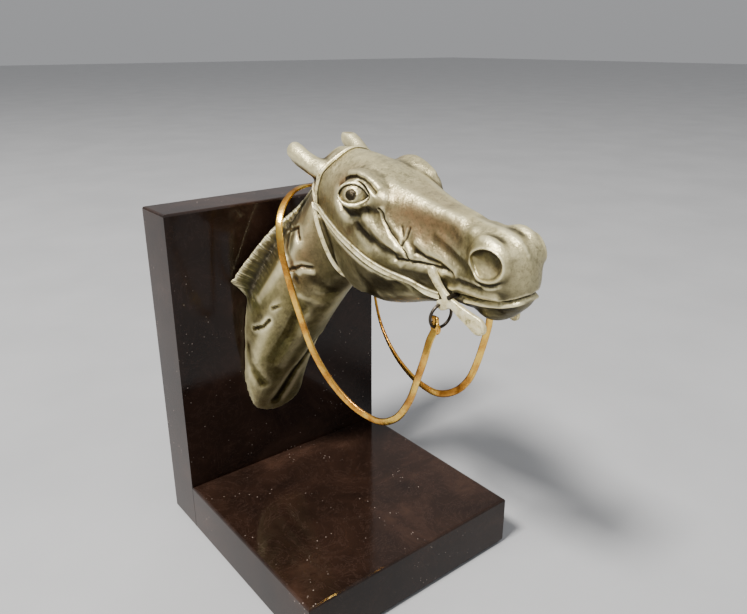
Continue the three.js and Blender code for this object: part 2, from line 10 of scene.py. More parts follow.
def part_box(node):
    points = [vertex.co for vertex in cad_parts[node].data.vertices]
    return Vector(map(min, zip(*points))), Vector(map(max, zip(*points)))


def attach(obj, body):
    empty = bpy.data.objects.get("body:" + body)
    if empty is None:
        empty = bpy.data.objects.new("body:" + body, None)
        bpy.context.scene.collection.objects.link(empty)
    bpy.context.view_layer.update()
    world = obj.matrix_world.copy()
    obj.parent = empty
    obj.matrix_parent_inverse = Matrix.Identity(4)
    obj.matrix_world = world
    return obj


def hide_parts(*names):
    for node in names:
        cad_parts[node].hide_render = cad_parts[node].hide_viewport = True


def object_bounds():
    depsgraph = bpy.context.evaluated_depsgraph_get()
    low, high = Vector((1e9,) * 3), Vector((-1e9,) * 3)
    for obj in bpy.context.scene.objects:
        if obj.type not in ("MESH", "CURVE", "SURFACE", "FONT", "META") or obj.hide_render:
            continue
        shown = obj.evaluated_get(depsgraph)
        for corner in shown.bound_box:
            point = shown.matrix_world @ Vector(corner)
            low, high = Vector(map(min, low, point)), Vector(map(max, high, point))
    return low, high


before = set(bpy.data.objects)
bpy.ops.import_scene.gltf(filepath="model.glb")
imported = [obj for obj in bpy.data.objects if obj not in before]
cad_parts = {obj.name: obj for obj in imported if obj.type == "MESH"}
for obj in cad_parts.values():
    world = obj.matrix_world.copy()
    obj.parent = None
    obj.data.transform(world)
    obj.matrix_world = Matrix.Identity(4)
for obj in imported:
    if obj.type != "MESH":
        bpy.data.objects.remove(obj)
cad_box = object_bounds()
bpy.ops.object.select_all(action="DESELECT")

# ---------------------------------------------------------------------------------------
# The table, the light and the camera. The bookend stands on a plain pale table, lit by one
# large soft lamp high on the horse's right side and by the pale room around it.

MM = 0.001

scene = bpy.context.scene


def new_material(name):
    """An empty material, with its nodes, links, shader and object coordinates."""
    material = bpy.data.materials.new(name)
    material.use_nodes = True
    nodes = material.node_tree.nodes
    nodes.clear()
    output = nodes.new("ShaderNodeOutputMaterial")
    shader = nodes.new("ShaderNodeBsdfPrincipled")
    material.node_tree.links.new(shader.outputs["BSDF"], output.inputs["Surface"])
    coords = nodes.new("ShaderNodeTexCoord")
    return material, material.node_tree, shader, coords.outputs["Object"]


def noise(tree, place, scale, detail=3.0, roughness=0.55, distortion=0.0):
    node = tree.nodes.new("ShaderNodeTexNoise")
    node.inputs["Scale"].default_value = scale
    node.inputs["Detail"].default_value = detail
    node.inputs["Roughness"].default_value = roughness
    node.inputs["Distortion"].default_value = distortion
    tree.links.new(place, node.inputs["Vector"])
    return node.outputs["Fac"]


def ramp(tree, value, stops):
    """A colour ramp from value, with stops of (position, colour or grey)."""
    node = tree.nodes.new("ShaderNodeValToRGB")
    while len(node.color_ramp.elements) < len(stops):
        node.color_ramp.elements.new(0.5)
    for element, (position, colour) in zip(node.color_ramp.elements, stops):
        element.position = position
        element.color = (colour, colour, colour, 1) if isinstance(colour, float) else (*colour, 1)
    tree.links.new(value, node.inputs["Fac"])
    return node.outputs["Color"]


bpy.ops.mesh.primitive_plane_add(size=16.0)
table = bpy.context.object
table.name = "table_top"
table_paint, tree, shader, place = new_material("table_paint")
grain = noise(tree, place, 9.0, detail=4.0)
tree.links.new(ramp(tree, grain, [(0.35, (0.330, 0.334, 0.342)), (0.7, (0.365, 0.369, 0.377))]),
               shader.inputs["Base Color"])
shader.inputs["Roughness"].default_value = 0.55
table.data.materials.append(table_paint)

world = bpy.data.worlds.new("room")
scene.world = world
world.use_nodes = True
sky = world.node_tree.nodes["Background"]
toward = world.node_tree.nodes.new("ShaderNodeTexCoord")
height = world.node_tree.nodes.new("ShaderNodeSeparateXYZ")
world.node_tree.links.new(toward.outputs["Generated"], height.inputs["Vector"])
wall_to_ceiling = ramp(world.node_tree, height.outputs["Z"],
                       [(0.0, (0.52, 0.525, 0.54)), (0.20, (0.56, 0.565, 0.58)), (0.75, (0.92, 0.92, 0.93))])
world.node_tree.links.new(wall_to_ceiling, sky.inputs["Color"])
sky.inputs["Strength"].default_value = 0.66


def area_lamp(name, place, aim, size, power, colour):
    light = bpy.data.lights.new(name, "AREA")
    light.size = size
    light.energy = power
    light.color = colour
    lamp = bpy.data.objects.new(name, light)
    scene.collection.objects.link(lamp)
    lamp.location = place
    lamp.rotation_euler = (Vector(aim) - Vector(place)).to_track_quat("-Z", "Y").to_euler()


MIDDLE = (0.0, 0.0, 0.09)
area_lamp("window", (-1.25, -0.15, 1.97), MIDDLE, 0.42, 138.0, (1.0, 0.97, 0.93))
area_lamp("ceiling", (0.25, -0.9, 0.9), MIDDLE, 0.9, 2.2, (0.93, 0.96, 1.0))

CAMERA_PLACE = (-0.1677, -0.2416, 0.2283)
CAMERA_TURN = math.radians(-38.68)       # round the vertical, from looking along +Y
CAMERA_FALL = math.radians(20.72)        # looking down
lens = bpy.data.cameras.new("camera")
lens.sensor_width = 36.0
lens.lens = 33.81
lens.clip_start = 0.01
camera = bpy.data.objects.new("camera", lens)
scene.collection.objects.link(camera)
camera.location = CAMERA_PLACE
camera.rotation_euler = (math.pi / 2 - CAMERA_FALL, 0, CAMERA_TURN)
scene.camera = camera

# ---------------------------------------------------------------------------------------
# The two slabs are sawn from near-black marble with a brown cast, polished to a mirror, with
# a small arris along every edge. The foot is doweled to the front of the upright slab.


def mix(tree, factor, low, high):
    """Mixes two colours, each a socket or a plain colour, by a factor socket or number."""
    node = tree.nodes.new("ShaderNodeMix")
    node.data_type = "RGBA"
    for socket, value in zip((node.inputs[0], node.inputs[6], node.inputs[7]), (factor, low, high)):
        if isinstance(value, bpy.types.NodeSocket):
            tree.links.new(value, socket)
        elif isinstance(value, tuple):
            socket.default_value = (*value, 1)
        else:
            socket.default_value = value
    return node.outputs[2]


def bump(tree, shader, height, distance):
    node = tree.nodes.new("ShaderNodeBump")
    node.inputs["Distance"].default_value = distance
    tree.links.new(height, node.inputs["Height"])
    tree.links.new(node.outputs["Normal"], shader.inputs["Normal"])


def wear_colours(material, *nodes):
    """Gives every named CAD node the material."""
    for node in nodes:
        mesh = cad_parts[node].data
        mesh.materials.clear()
        mesh.materials.append(material)


marble, tree, shader, place = new_material("polished_marble")
cloud = noise(tree, place, 26.0, detail=6.0, roughness=0.65, distortion=0.6)
body = ramp(tree, cloud, [(0.30, (0.006, 0.0032, 0.0022)), (0.55, (0.016, 0.0080, 0.0052)),
                          (0.78, (0.038, 0.019, 0.012))])
veins = noise(tree, place, 55.0, detail=8.0, roughness=0.7, distortion=2.4)
vein_mask = ramp(tree, veins, [(0.488, 0.0), (0.5, 0.22), (0.512, 0.0)])
veined = mix(tree, vein_mask, body, (0.075, 0.045, 0.035))
flecks = tree.nodes.new("ShaderNodeTexVoronoi")
flecks.inputs["Scale"].default_value = 420.0
tree.links.new(place, flecks.inputs["Vector"])
fleck_mask = ramp(tree, flecks.outputs["Distance"], [(0.06, 0.9), (0.12, 0.0)])
fleck_area = ramp(tree, noise(tree, place, 60.0), [(0.52, 0.0), (0.60, 1.0)])
fleck = mix(tree, fleck_area, (0.0, 0.0, 0.0), fleck_mask)
tree.links.new(mix(tree, fleck, veined, (0.34, 0.28, 0.24)), shader.inputs["Base Color"])
smears = noise(tree, place, 14.0, detail=5.0, roughness=0.7, distortion=1.2)
tree.links.new(ramp(tree, smears, [(0.35, 0.05), (0.75, 0.16)]), shader.inputs["Roughness"])
shader.inputs["IOR"].default_value = 1.40
shader.inputs["Specular IOR Level"].default_value = 0.30
bump(tree, shader, noise(tree, place, 900.0, detail=2.0), 0.00002)
wear_colours(marble, "upright_slab", "foot_slab")

# ---------------------------------------------------------------------------------------
# The felt is one dark green sheet glued under both slabs, a little short of their edges, so
# that the polished marble does not scratch a shelf.

felt, tree, shader, place = new_material("green_felt")
fibre = noise(tree, place, 1800.0, detail=5.0, roughness=0.8)
tree.links.new(ramp(tree, fibre, [(0.35, (0.006, 0.012, 0.008)), (0.7, (0.03, 0.05, 0.035))]),
               shader.inputs["Base Color"])
shader.inputs["Roughness"].default_value = 0.95
shader.inputs["Sheen Weight"].default_value = 0.4
bump(tree, shader, fibre, 0.0003)
wear_colours(felt, "felt_sheet")

# ---------------------------------------------------------------------------------------
# The fixings are turned steel, dulled by years behind books. Two socket screws with washers
# hold the casting from behind, and two dowels join the slabs.

steel, tree, shader, place = new_material("turned_steel")
turning = tree.nodes.new("ShaderNodeTexWave")
turning.wave_type = "RINGS"
turning.rings_direction = "Y"
turning.inputs["Scale"].default_value = 700.0
turning.inputs["Distortion"].default_value = 1.5
tree.links.new(place, turning.inputs["Vector"])
stain = noise(tree, place, 260.0, detail=4.0)
tree.links.new(ramp(tree, stain, [(0.35, (0.22, 0.20, 0.17)), (0.65, (0.46, 0.46, 0.45))]),
               shader.inputs["Base Color"])
tree.links.new(ramp(tree, stain, [(0.3, 0.55), (0.7, 0.32)]), shader.inputs["Roughness"])
shader.inputs["Metallic"].default_value = 1.0
bump(tree, shader, turning.outputs["Fac"], 0.00004)
wear_colours(steel, "neck_screw_lower", "neck_screw_upper", "neck_washer_lower",
             "neck_washer_upper", "dowel_right", "dowel_left")

# ---------------------------------------------------------------------------------------
# The horse's head and neck: one hollow bronze casting, modelled in wax, chased after casting
# and patinated olive and brown, with the high places rubbed pale. Its flat back is screwed
# to the upright slab.

FACE_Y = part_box("upright_slab")[0].y / MM
HEAD_L = 114.8                       # poll to lips, in millimetres
POLL = np.array((9.1, FACE_Y - 38.1, 187.1))
HEAD_NOD = math.radians(6.7)
HEAD_YAW = math.radians(-5)
HEAD_TILT = math.radians(7.5)
HEAD_TURN = np.array(Matrix.Rotation(HEAD_YAW, 3, "Z")
                     @ Matrix.Rotation(HEAD_NOD, 3, "X")
                     @ Matrix.Rotation(-HEAD_TILT, 3, "Y"))
# Rows are the directions of u (poll to lips), v (to the horse's left) and w (up).
HEAD_AXES = np.array((-HEAD_TURN[:, 1], HEAD_TURN[:, 0], HEAD_TURN[:, 2]))


def at_head(points):
    """Head coordinates u, v, w in head lengths to millimetres in the part's frame."""
    return POLL + HEAD_L * np.asarray(points, float) @ HEAD_AXES


def in_head(points):
    return (points - POLL) @ HEAD_AXES.T / HEAD_L


def spline(knots, rows, at):
    """A smooth cubic through the rows at the knots, read at the places in at."""
    knots = np.asarray(knots, float)
    rows = np.asarray(rows, float)
    at = np.asarray(at, float)
    step = np.diff(knots)[:, None]
    slope = np.diff(rows, axis=0) / step
    inner = (slope[:-1] * step[1:] + slope[1:] * step[:-1]) / (step[:-1] + step[1:])
    tangent = np.vstack([slope[:1], inner, slope[-1:]])
    k = np.clip(np.searchsorted(knots, at, "right") - 1, 0, len(knots) - 2)
    h = step[k]
    s = ((at - knots[k]) / step[k, 0])[:, None]
    return ((1 + 2 * s) * (1 - s) ** 2 * rows[k] + s * (1 - s) ** 2 * h * tangent[k]
            + s * s * (3 - 2 * s) * rows[k + 1] + s * s * (s - 1) * h * tangent[k + 1])


def curve(points, n, closed=False):
    """n points evenly along a smooth curve through the given points."""
    points = np.asarray(points, float)
    if closed:
        points = np.vstack([points[-3:], points, points[:4]])
    length = np.concatenate([[0], np.cumsum(np.linalg.norm(np.diff(points, axis=0), axis=1))])
    ends = (length[3], length[-4]) if closed else (0, length[-1])
    return spline(length, points, np.linspace(*ends, n, endpoint=not closed))


def unit(rows):
    """Every row as a direction of length one."""
    return rows / np.linalg.norm(rows, axis=1)[:, None]


def loft(rings):
    """Vertices and faces of a closed skin over equal rings."""
    count = len(rings)
    n = len(rings[0])
    vertices = np.vstack([*rings, rings[0].mean(0), rings[-1].mean(0)])
    faces = [(k * n + i, k * n + (i + 1) % n, (k + 1) * n + (i + 1) % n, (k + 1) * n + i)
             for k in range(count - 1) for i in range(n)]
    first = count * n
    last = (count - 1) * n
    faces += [(first, (i + 1) % n, i) for i in range(n)]
    faces += [(first + 1, last + i, last + (i + 1) % n) for i in range(n)]
    return vertices, faces


def add_mesh(name, vertices, faces):
    """A new object from vertices in millimetres, with its faces turned outwards."""
    mesh = bpy.data.meshes.new(name)
    mesh.from_pydata((np.asarray(vertices) * MM).tolist(), [], faces)
    shape = bmesh.new()
    shape.from_mesh(mesh)
    bmesh.ops.recalc_face_normals(shape, faces=shape.faces)
    shape.to_mesh(mesh)
    shape.free()
    piece = bpy.data.objects.new(name, mesh)
    scene.collection.objects.link(piece)
    return piece


# Head stations: u, top and bottom w, then half widths at five levels from top to bottom.
HEAD_LEVELS = np.array((0.06, 0.27, 0.52, 0.78, 0.95))
HEAD_STATIONS = np.array((
    (-0.04, -0.045, -0.200, 0.018, 0.046, 0.055, 0.040, 0.018),
    (-0.02, -0.010, -0.245, 0.036, 0.094, 0.108, 0.086, 0.038),
    (0.02, 0.004, -0.290, 0.048, 0.116, 0.131, 0.110, 0.052),
    (0.08, 0.014, -0.360, 0.060, 0.128, 0.143, 0.124, 0.064),
    (0.17, 0.022, -0.455, 0.075, 0.138, 0.154, 0.138, 0.076),
    (0.26, 0.022, -0.490, 0.088, 0.142, 0.158, 0.142, 0.082),
    (0.34, 0.016, -0.490, 0.092, 0.142, 0.156, 0.136, 0.078),
    (0.42, 0.004, -0.464, 0.086, 0.132, 0.148, 0.122, 0.070),
    (0.50, -0.008, -0.426, 0.074, 0.112, 0.135, 0.106, 0.062),
    (0.58, -0.018, -0.384, 0.061, 0.092, 0.110, 0.098, 0.060),
    (0.66, -0.024, -0.348, 0.051, 0.077, 0.088, 0.082, 0.056),
    (0.74, -0.027, -0.320, 0.046, 0.070, 0.079, 0.073, 0.048),
    (0.81, -0.027, -0.316, 0.046, 0.072, 0.081, 0.071, 0.044),
    (0.88, -0.026, -0.318, 0.048, 0.082, 0.088, 0.068, 0.040),
    (0.93, -0.034, -0.286, 0.044, 0.078, 0.084, 0.060, 0.033),
    (0.965, -0.056, -0.250, 0.034, 0.062, 0.068, 0.050, 0.027),
    (0.985, -0.092, -0.226, 0.022, 0.042, 0.047, 0.038, 0.020),
    (0.996, -0.135, -0.200, 0.008, 0.018, 0.020, 0.016, 0.008),
))


def head_ring(row, n=120):
    top, bottom = row[1:3]
    w = top + (bottom - top) * HEAD_LEVELS
    right = np.column_stack([np.full(5, row[0]), -row[3:], w])
    left = right[::-1] * (1, -1, 1)
    ring = np.vstack([(row[0], 0, top), right, (row[0], 0, bottom), left])
    return at_head(curve(ring, n, closed=True))


head_places = np.linspace(HEAD_STATIONS[0, 0], HEAD_STATIONS[-1, 0], 110)
head_rows = spline(HEAD_STATIONS[:, 0], HEAD_STATIONS, head_places)
head = loft([head_ring(row) for row in head_rows])

# Neck sections stand parallel to the slab: distance in front of it, then X and Z of ten points
# from the crest down the right side, round the throat and up the left side.
NECK_SECTIONS = (
    (0.3, (-18, 119), (-21, 108), (-23, 88), (-23.3, 68), (-18.5, 55.5), (-4, 51.5),
     (6, 55.5), (11, 68), (15.5, 92), (3, 118)),
    (5, (-14.5, 129), (-19.5, 117), (-22.7, 97), (-22.5, 77), (-16, 63), (-4, 60),
     (5, 64), (9.5, 77), (15, 101), (5, 126)),
    (12, (-7.5, 143), (-15, 130), (-20.5, 108), (-20.5, 91), (-12, 78), (-1, 75.5),
     (6, 80), (11, 92), (16, 114), (8, 137)),
    (20, (2, 158), (-9, 145), (-17, 122), (-16, 106), (-8, 94), (1, 91),
     (8.5, 95), (14, 108), (20, 128), (12, 150)),
    (30, (6.5, 174), (-3, 162), (-10.5, 142), (-9, 124), (-4, 111), (3.5, 107),
     (11, 111), (17.5, 124), (23, 144), (15, 166)),
    (40, (9, 184), (1, 176), (-4.5, 156), (-3, 138), (2, 126), (8, 122.5),
     (15.5, 126.5), (21.5, 140), (26, 159), (18, 177)),
    (50, (10, 178), (5, 171), (0, 156), (1, 144), (5, 135), (10, 132),
     (17, 135), (21, 145), (23, 157), (16, 171)),
    (58, (11, 168), (8, 164), (5, 156), (6, 148), (8, 143), (11, 141),
     (14, 143), (17, 148), (18, 157), (14, 165)),
)


def slab_front(rows):
    """Rows of X, distance in front of the slab, Z, as points of the part's frame."""
    rows = np.asarray(rows, float)
    return np.column_stack([rows[:, 0], FACE_Y - rows[:, 1], rows[:, 2]])


def neck_ring(row, n=110):
    outline = np.asarray(row[1:]).reshape(-1, 2)
    return curve(slab_front([(x, row[0], z) for x, z in outline]), n, closed=True)


neck_table = np.array([(row[0], *np.ravel(row[1:])) for row in NECK_SECTIONS])
neck_rows = spline(neck_table[:, 0], neck_table, np.linspace(neck_table[0, 0], neck_table[-1, 0], 80))
neck = loft([neck_ring(row) for row in neck_rows])

# The hogged mane is a thin upright crest: its root, then its clipped edge, as X, distance
# in front of the slab and Z.
MANE_ROOT = ((-16, 0.6, 112), (-12, 6, 126), (-5, 13, 140), (3, 20, 154), (6, 27, 166), (8, 33, 175))
MANE_EDGE = ((-28, 0.8, 125), (-20, 4.3, 136), (-9.5, 10, 149.5), (0.5, 17, 159.8), (5.2, 24, 170),
             (8, 31, 179))
MANE_SIDE = np.array((0.75, 0.5, -0.45))
MANE_HALF_T = 2.4

mane_root = curve(slab_front(MANE_ROOT), 60)
mane_edge = curve(slab_front(MANE_EDGE), 60)
MANE_PROFILE = ((0, -1.25), (0.3, -1.1), (0.6, -0.9), (0.85, -0.65), (0.97, -0.35), (1.0, 0),
                (0.97, 0.35), (0.85, 0.65), (0.6, 0.9), (0.3, 1.1), (0, 1.25))
mane = loft([np.array([low + (high - low) * out + MANE_SIDE * MANE_HALF_T * side
                       for out, side in MANE_PROFILE])
             for low, high in zip(mane_root, mane_edge)])

# Each ear lies back from its base beside the poll: u, v, w along it, then half width and depth.
EAR = ((0.075, 0.070, -0.085, 3.8, 4.0), (0.03, 0.090, -0.072, 5.0, 4.4), (-0.03, 0.108, -0.060, 4.7, 3.8),
       (-0.08, 0.118, -0.046, 4.7, 3.6), (-0.125, 0.121, -0.034, 4.8, 3.5), (-0.16, 0.120, -0.029, 4.0, 2.8),
       (-0.178, 0.119, -0.028, 1.4, 1.1))


def make_ear(side):
    rows = np.array(EAR) * (1, side, 1, 1, 1)
    line = at_head(rows[:, :3])
    knots = np.concatenate([[0], np.cumsum(np.linalg.norm(np.diff(line, axis=0), axis=1))])
    stations = np.linspace(0, knots[-1], 40)
    centre = spline(knots, line, stations)
    size = spline(knots, rows[:, 3:], stations)
    along = unit(np.gradient(centre, axis=0))
    outward = np.array((0, side, 0.35)) @ HEAD_AXES
    across = unit(np.cross(along, outward))
    round_side = np.cross(across, along)
    angle = np.linspace(0, 2 * math.pi, 36, endpoint=False)
    return loft([c + wide * np.outer(np.cos(angle), a) + deep * np.outer(np.sin(angle), r)
                 for c, (wide, deep), a, r in zip(centre, size, across, round_side)])


def blob(u, v, w, radii, turn=0.0):
    """An egg on the head: half sizes in millimetres forward, sideways and up, nose turned down."""
    i = np.linspace(0.08, math.pi - 0.08, 18)
    j = np.linspace(0, 2 * math.pi, 28, endpoint=False)
    turned = np.array(((math.cos(turn), 0, -math.sin(turn)), (0, 1, 0), (math.sin(turn), 0, math.cos(turn))))
    rings = [np.column_stack([np.full(28, math.cos(a)), math.sin(a) * np.cos(j), math.sin(a) * np.sin(j)])
             for a in i]
    return loft([at_head((u, v, w)) + (ring * radii) @ turned @ HEAD_AXES for ring in rings])


parts = [head, neck, mane]
for side in (-1, 1):
    parts.append(make_ear(side))
    parts.append(blob(0.335, side * 0.098, -0.046, (15.0, 5.6, 7.0), turn=0.15))     # brow
    parts.append(blob(0.300, side * 0.112, -0.075, (8.5, 5.0, 7.0)))                 # eye socket
    parts.append(blob(0.890, side * 0.062, -0.104, (9.5, 4.2, 8.5)))                 # nostril
    parts.append(blob(0.46, side * 0.104, -0.158, (17.0, 3.4, 4.2), turn=0.28))      # cheekbone
    parts.append(blob(0.25, side * 0.100, -0.300, (18.0, 6.8, 18.0)))                # jaw muscle

vertices = np.vstack([v for v, _ in parts])
starts = np.cumsum([0] + [len(v) for v, _ in parts])
faces = [tuple(i + start for i in face) for start, (_, fs) in zip(starts, parts) for face in fs]
horse = add_mesh("horse_head", vertices, faces)


def apply_modifier(piece, kind, **settings):
    """Adds a modifier with the given settings and applies it."""
    bpy.ops.object.select_all(action="DESELECT")
    piece.select_set(True)
    bpy.context.view_layer.objects.active = piece
    modifier = piece.modifiers.new(kind.lower(), kind)
    for key, value in settings.items():
        setattr(modifier, key, value)
    bpy.ops.object.modifier_apply(modifier=modifier.name)


SKIN_GRAIN = 0.85                    # fine enough for the lids, the lips and the mane
apply_modifier(horse, "REMESH", mode="VOXEL", voxel_size=SKIN_GRAIN * MM)
apply_modifier(horse, "SMOOTH", factor=0.5, iterations=10)


def positions(piece):
    """Vertex places in millimetres."""
    flat = np.zeros(len(piece.data.vertices) * 3)
    piece.data.vertices.foreach_get("co", flat)
    return flat.reshape(-1, 3) / MM


def move_to(piece, points):
    piece.data.vertices.foreach_set("co", (points * MM).ravel())
    piece.data.update()


def normals(piece):
    flat = np.zeros(len(piece.data.vertices) * 3)
    piece.data.vertex_normals.foreach_get("vector", flat)
    return flat.reshape(-1, 3)


def refine(piece, chosen):
    """Halves the edges between chosen vertices."""
    shape = bmesh.new()
    shape.from_mesh(piece.data)
    shape.verts.ensure_lookup_table()
    edges = [e for e in shape.edges if chosen[e.verts[0].index] and chosen[e.verts[1].index]]
    bmesh.ops.subdivide_edges(shape, edges=edges, cuts=1, use_grid_fill=True, smooth=0.3)
    bmesh.ops.triangulate(shape, faces=[f for f in shape.faces if len(f.verts) > 4])
    shape.to_mesh(piece.data)
    shape.free()


u, v, w = in_head(positions(horse)).T
near_eye = (np.hypot((u - 0.31) / 0.14, (w + 0.06) / 0.10) < 1) & (abs(v) > 0.06)
on_face = (u > 0.40) & (w < -0.04) & (w > -0.34)
refine(horse, near_eye | on_face)


def line_distance(points, line):
    """Distance from each point to the nearest stretch of the line, in the line's own space."""
    line = np.asarray(line, float)
    best = np.full(len(points), 1e9)
    for a, b in zip(line[:-1], line[1:]):
        t = np.clip(((points - a) @ (b - a)) / ((b - a) @ (b - a)), 0, 1)
        best = np.minimum(best, np.linalg.norm(points - a - t[:, None] * (b - a), axis=1))
    return best


def soft(distance, reach):
    """One on the line, falling smoothly to nothing at about twice the reach."""
    return np.exp(-(distance / reach) ** 2)


def fade(value, start, end):
    """Zero before start, one past end, and smooth between; or the other way round."""
    t = np.clip((value - start) / (end - start), 0, 1)
    return t * t * (3 - 2 * t)


# Strokes on the sides of the face, the same on both: depth in millimetres (minus cuts in),
# reach in millimetres, then the line in u and w.
CHEEK_STROKES = (
    # the vein below the eye and its branches
    (-0.75, 0.55, ((0.437, -0.075), (0.453, -0.108), (0.487, -0.136), (0.520, -0.151), (0.547, -0.168),
                   (0.569, -0.182), (0.578, -0.203))),
    (0.45, 1.0, ((0.448, -0.068), (0.466, -0.100), (0.500, -0.126), (0.532, -0.141), (0.562, -0.158),
                 (0.588, -0.184))),
    (-0.5, 0.5, ((0.554, -0.109), (0.554, -0.136), (0.547, -0.163))),
    (-0.35, 0.5, ((0.524, -0.112), (0.540, -0.138), (0.549, -0.160))),
    # the crease behind the corner of the mouth
    (-1.0, 0.75, ((0.522, -0.222), (0.552, -0.212), (0.582, -0.209), (0.631, -0.202), (0.675, -0.197),
                  (0.722, -0.192))),
    (0.4, 1.6, ((0.545, -0.236), (0.585, -0.230), (0.640, -0.224), (0.700, -0.214))),
    # folds running down to the nostril
    (0.7, 1.6, ((0.594, -0.142), (0.640, -0.158), (0.700, -0.160), (0.765, -0.176))),
    (-0.8, 1.0, ((0.600, -0.172), (0.640, -0.181), (0.690, -0.180), (0.752, -0.192))),
    (-0.6, 2.0, ((0.655, -0.118), (0.700, -0.130), (0.750, -0.140), (0.800, -0.156))),
    (0.3, 1.4, ((0.660, -0.098), (0.720, -0.108), (0.780, -0.118), (0.826, -0.124))),
    # the cheekbone, lit above and hollow below
    (1.1, 2.1, ((0.360, -0.118), (0.410, -0.142), (0.466, -0.166), (0.522, -0.182))),
    (-1.6, 2.4, ((0.330, -0.168), (0.390, -0.192), (0.450, -0.208), (0.512, -0.206))),
    (-0.8, 4.5, ((0.300, -0.185), (0.400, -0.215), (0.460, -0.232))),
    # a shallow hollow along the side of the nose
    (-0.9, 4.5, ((0.540, -0.080), (0.640, -0.085), (0.720, -0.085))),
    # the jaw's lower edge and the groove behind the chin
    (0.6, 2.8, ((0.400, -0.410), (0.500, -0.375), (0.600, -0.335), (0.680, -0.305))),
    (-1.0, 2.6, ((0.500, -0.325), (0.580, -0.300), (0.650, -0.278), (0.720, -0.268))),
    # the dark bed along the lower edge of the cheek strap
    (-1.0, 0.8, ((0.040, -0.205), (0.130, -0.224), (0.225, -0.250), (0.311, -0.270), (0.409, -0.292),
                 (0.480, -0.304), (0.560, -0.318))),
    # mouth and lips
    (-2.1, 0.85, ((0.745, -0.268), (0.775, -0.262), (0.806, -0.253), (0.844, -0.240), (0.880, -0.228),
                  (0.930, -0.214))),
    (-1.2, 0.55, ((0.880, -0.228), (0.930, -0.213), (0.962, -0.203), (0.985, -0.192), (1.010, -0.178))),
    (0.9, 1.3, ((0.731, -0.250), (0.783, -0.226), (0.840, -0.214), (0.890, -0.203), (0.935, -0.194))),
    (0.8, 0.6, ((0.790, -0.272), (0.840, -0.254), (0.890, -0.240), (0.935, -0.226), (0.972, -0.210),
                (0.984, -0.203))),
    (-0.7, 1.8, ((0.800, -0.296), (0.860, -0.272), (0.920, -0.252))),
    (-0.6, 1.5, ((0.790, -0.205), (0.830, -0.196), (0.880, -0.186))),
    (0.4, 1.6, ((0.770, -0.192), (0.820, -0.184), (0.870, -0.172))),
)

# Strokes on top of the head: depth, reach, then the line in u and v (mirrored).
TOP_STROKES = (
    (0.55, 1.9, ((0.80, 0.046), (0.86, 0.058), (0.92, 0.056), (0.955, 0.040))),
    (0.35, 1.6, ((0.87, 0.0), (0.93, 0.0), (0.97, 0.0))),
    (-0.45, 2.6, ((0.76, 0.022), (0.84, 0.026), (0.92, 0.030), (0.97, 0.026))),
    (0.5, 2.2, ((0.40, 0.062), (0.52, 0.046), (0.64, 0.036), (0.74, 0.030))),
    (-0.5, 3.4, ((0.42, 0.0), (0.54, 0.0), (0.64, 0.0))),
    (-0.8, 3.4, ((0.12, 0.085), (0.19, 0.085), (0.24, 0.078))),
)

# Strokes on the neck: depth, reach, then X, distance in front of the slab and Z.
NECK_STROKES = (
    (-0.9, 0.8, ((-12.2, 27.6, 134.3), (-9.1, 32.3, 136.4), (-6.2, 36.0, 135.8))),
    (0.35, 1.8, ((-12.0, 28.0, 131.8), (-9.0, 32.6, 134.0), (-6.0, 36.2, 133.4))),
    (-0.7, 0.9, ((-6.5, 20.9, 149.9), (-7.5, 28.5, 152.6), (-8.7, 31.3, 148.4))),
    (-0.7, 1.5, ((-7.8, 20.4, 148.2), (-11.4, 26.9, 140.3), (-11.4, 29.4, 133.8), (-10.5, 31, 128))),
    (-1.0, 0.7, ((-21.9, 9.0, 102.6), (-19.9, 14.7, 105.0), (-18.4, 17.9, 108.6))),
    (-0.5, 0.7, ((-17.5, 20, 115), (-15.5, 24, 117), (-13.8, 27, 117))),
    (-1.9, 2.8, ((-8.5, 3.5, 59.5), (-5.8, 6.6, 65.5), (-1.6, 11.6, 75.5), (3.9, 15.2, 84), (7, 19, 92))),
    (0.6, 3.4, ((-9.5, 14, 83), (-7.3, 17.6, 89.5), (-3.8, 24.2, 100.3))),
    (-1.0, 2.8, ((-14, 12, 88), (-10, 20, 101), (-7, 28, 114))),
    (0.9, 3.2, ((-19, 12, 118), (-16, 20, 130), (-9.5, 30, 146))),
    (-0.6, 2.6, ((-5, 36, 128), (-1.5, 40, 124.5), (3, 42, 122))),
    (-0.5, 2.6, ((-8, 33, 118), (-4, 36, 116), (1, 36, 113))),
    (0.4, 2.4, ((-8.5, 30, 122), (-5.5, 33.5, 119), (-1, 35, 116))),
    (-0.8, 2.4, ((-22, 4, 92), (-21, 6, 80), (-18, 8, 72))),
    (0.3, 2.6, ((-12, 30, 126), (-10, 33, 120), (-7, 36, 112))),
)


def stroke_depth(points, strokes):
    return sum(strength * soft(line_distance(points, line), reach) for strength, reach, line in strokes)


def socket_frame(gaze):
    """Rows: forward along the face, up, and out along the gaze, in the head's own axes."""
    gaze = np.asarray(gaze) / np.linalg.norm(gaze)
    forward = np.cross(gaze, (0, 0, 1))
    forward /= np.linalg.norm(forward)
    forward *= np.sign(forward[0])
    up = np.cross(forward, gaze)
    return np.array((forward, up * np.sign(up[2]), gaze))


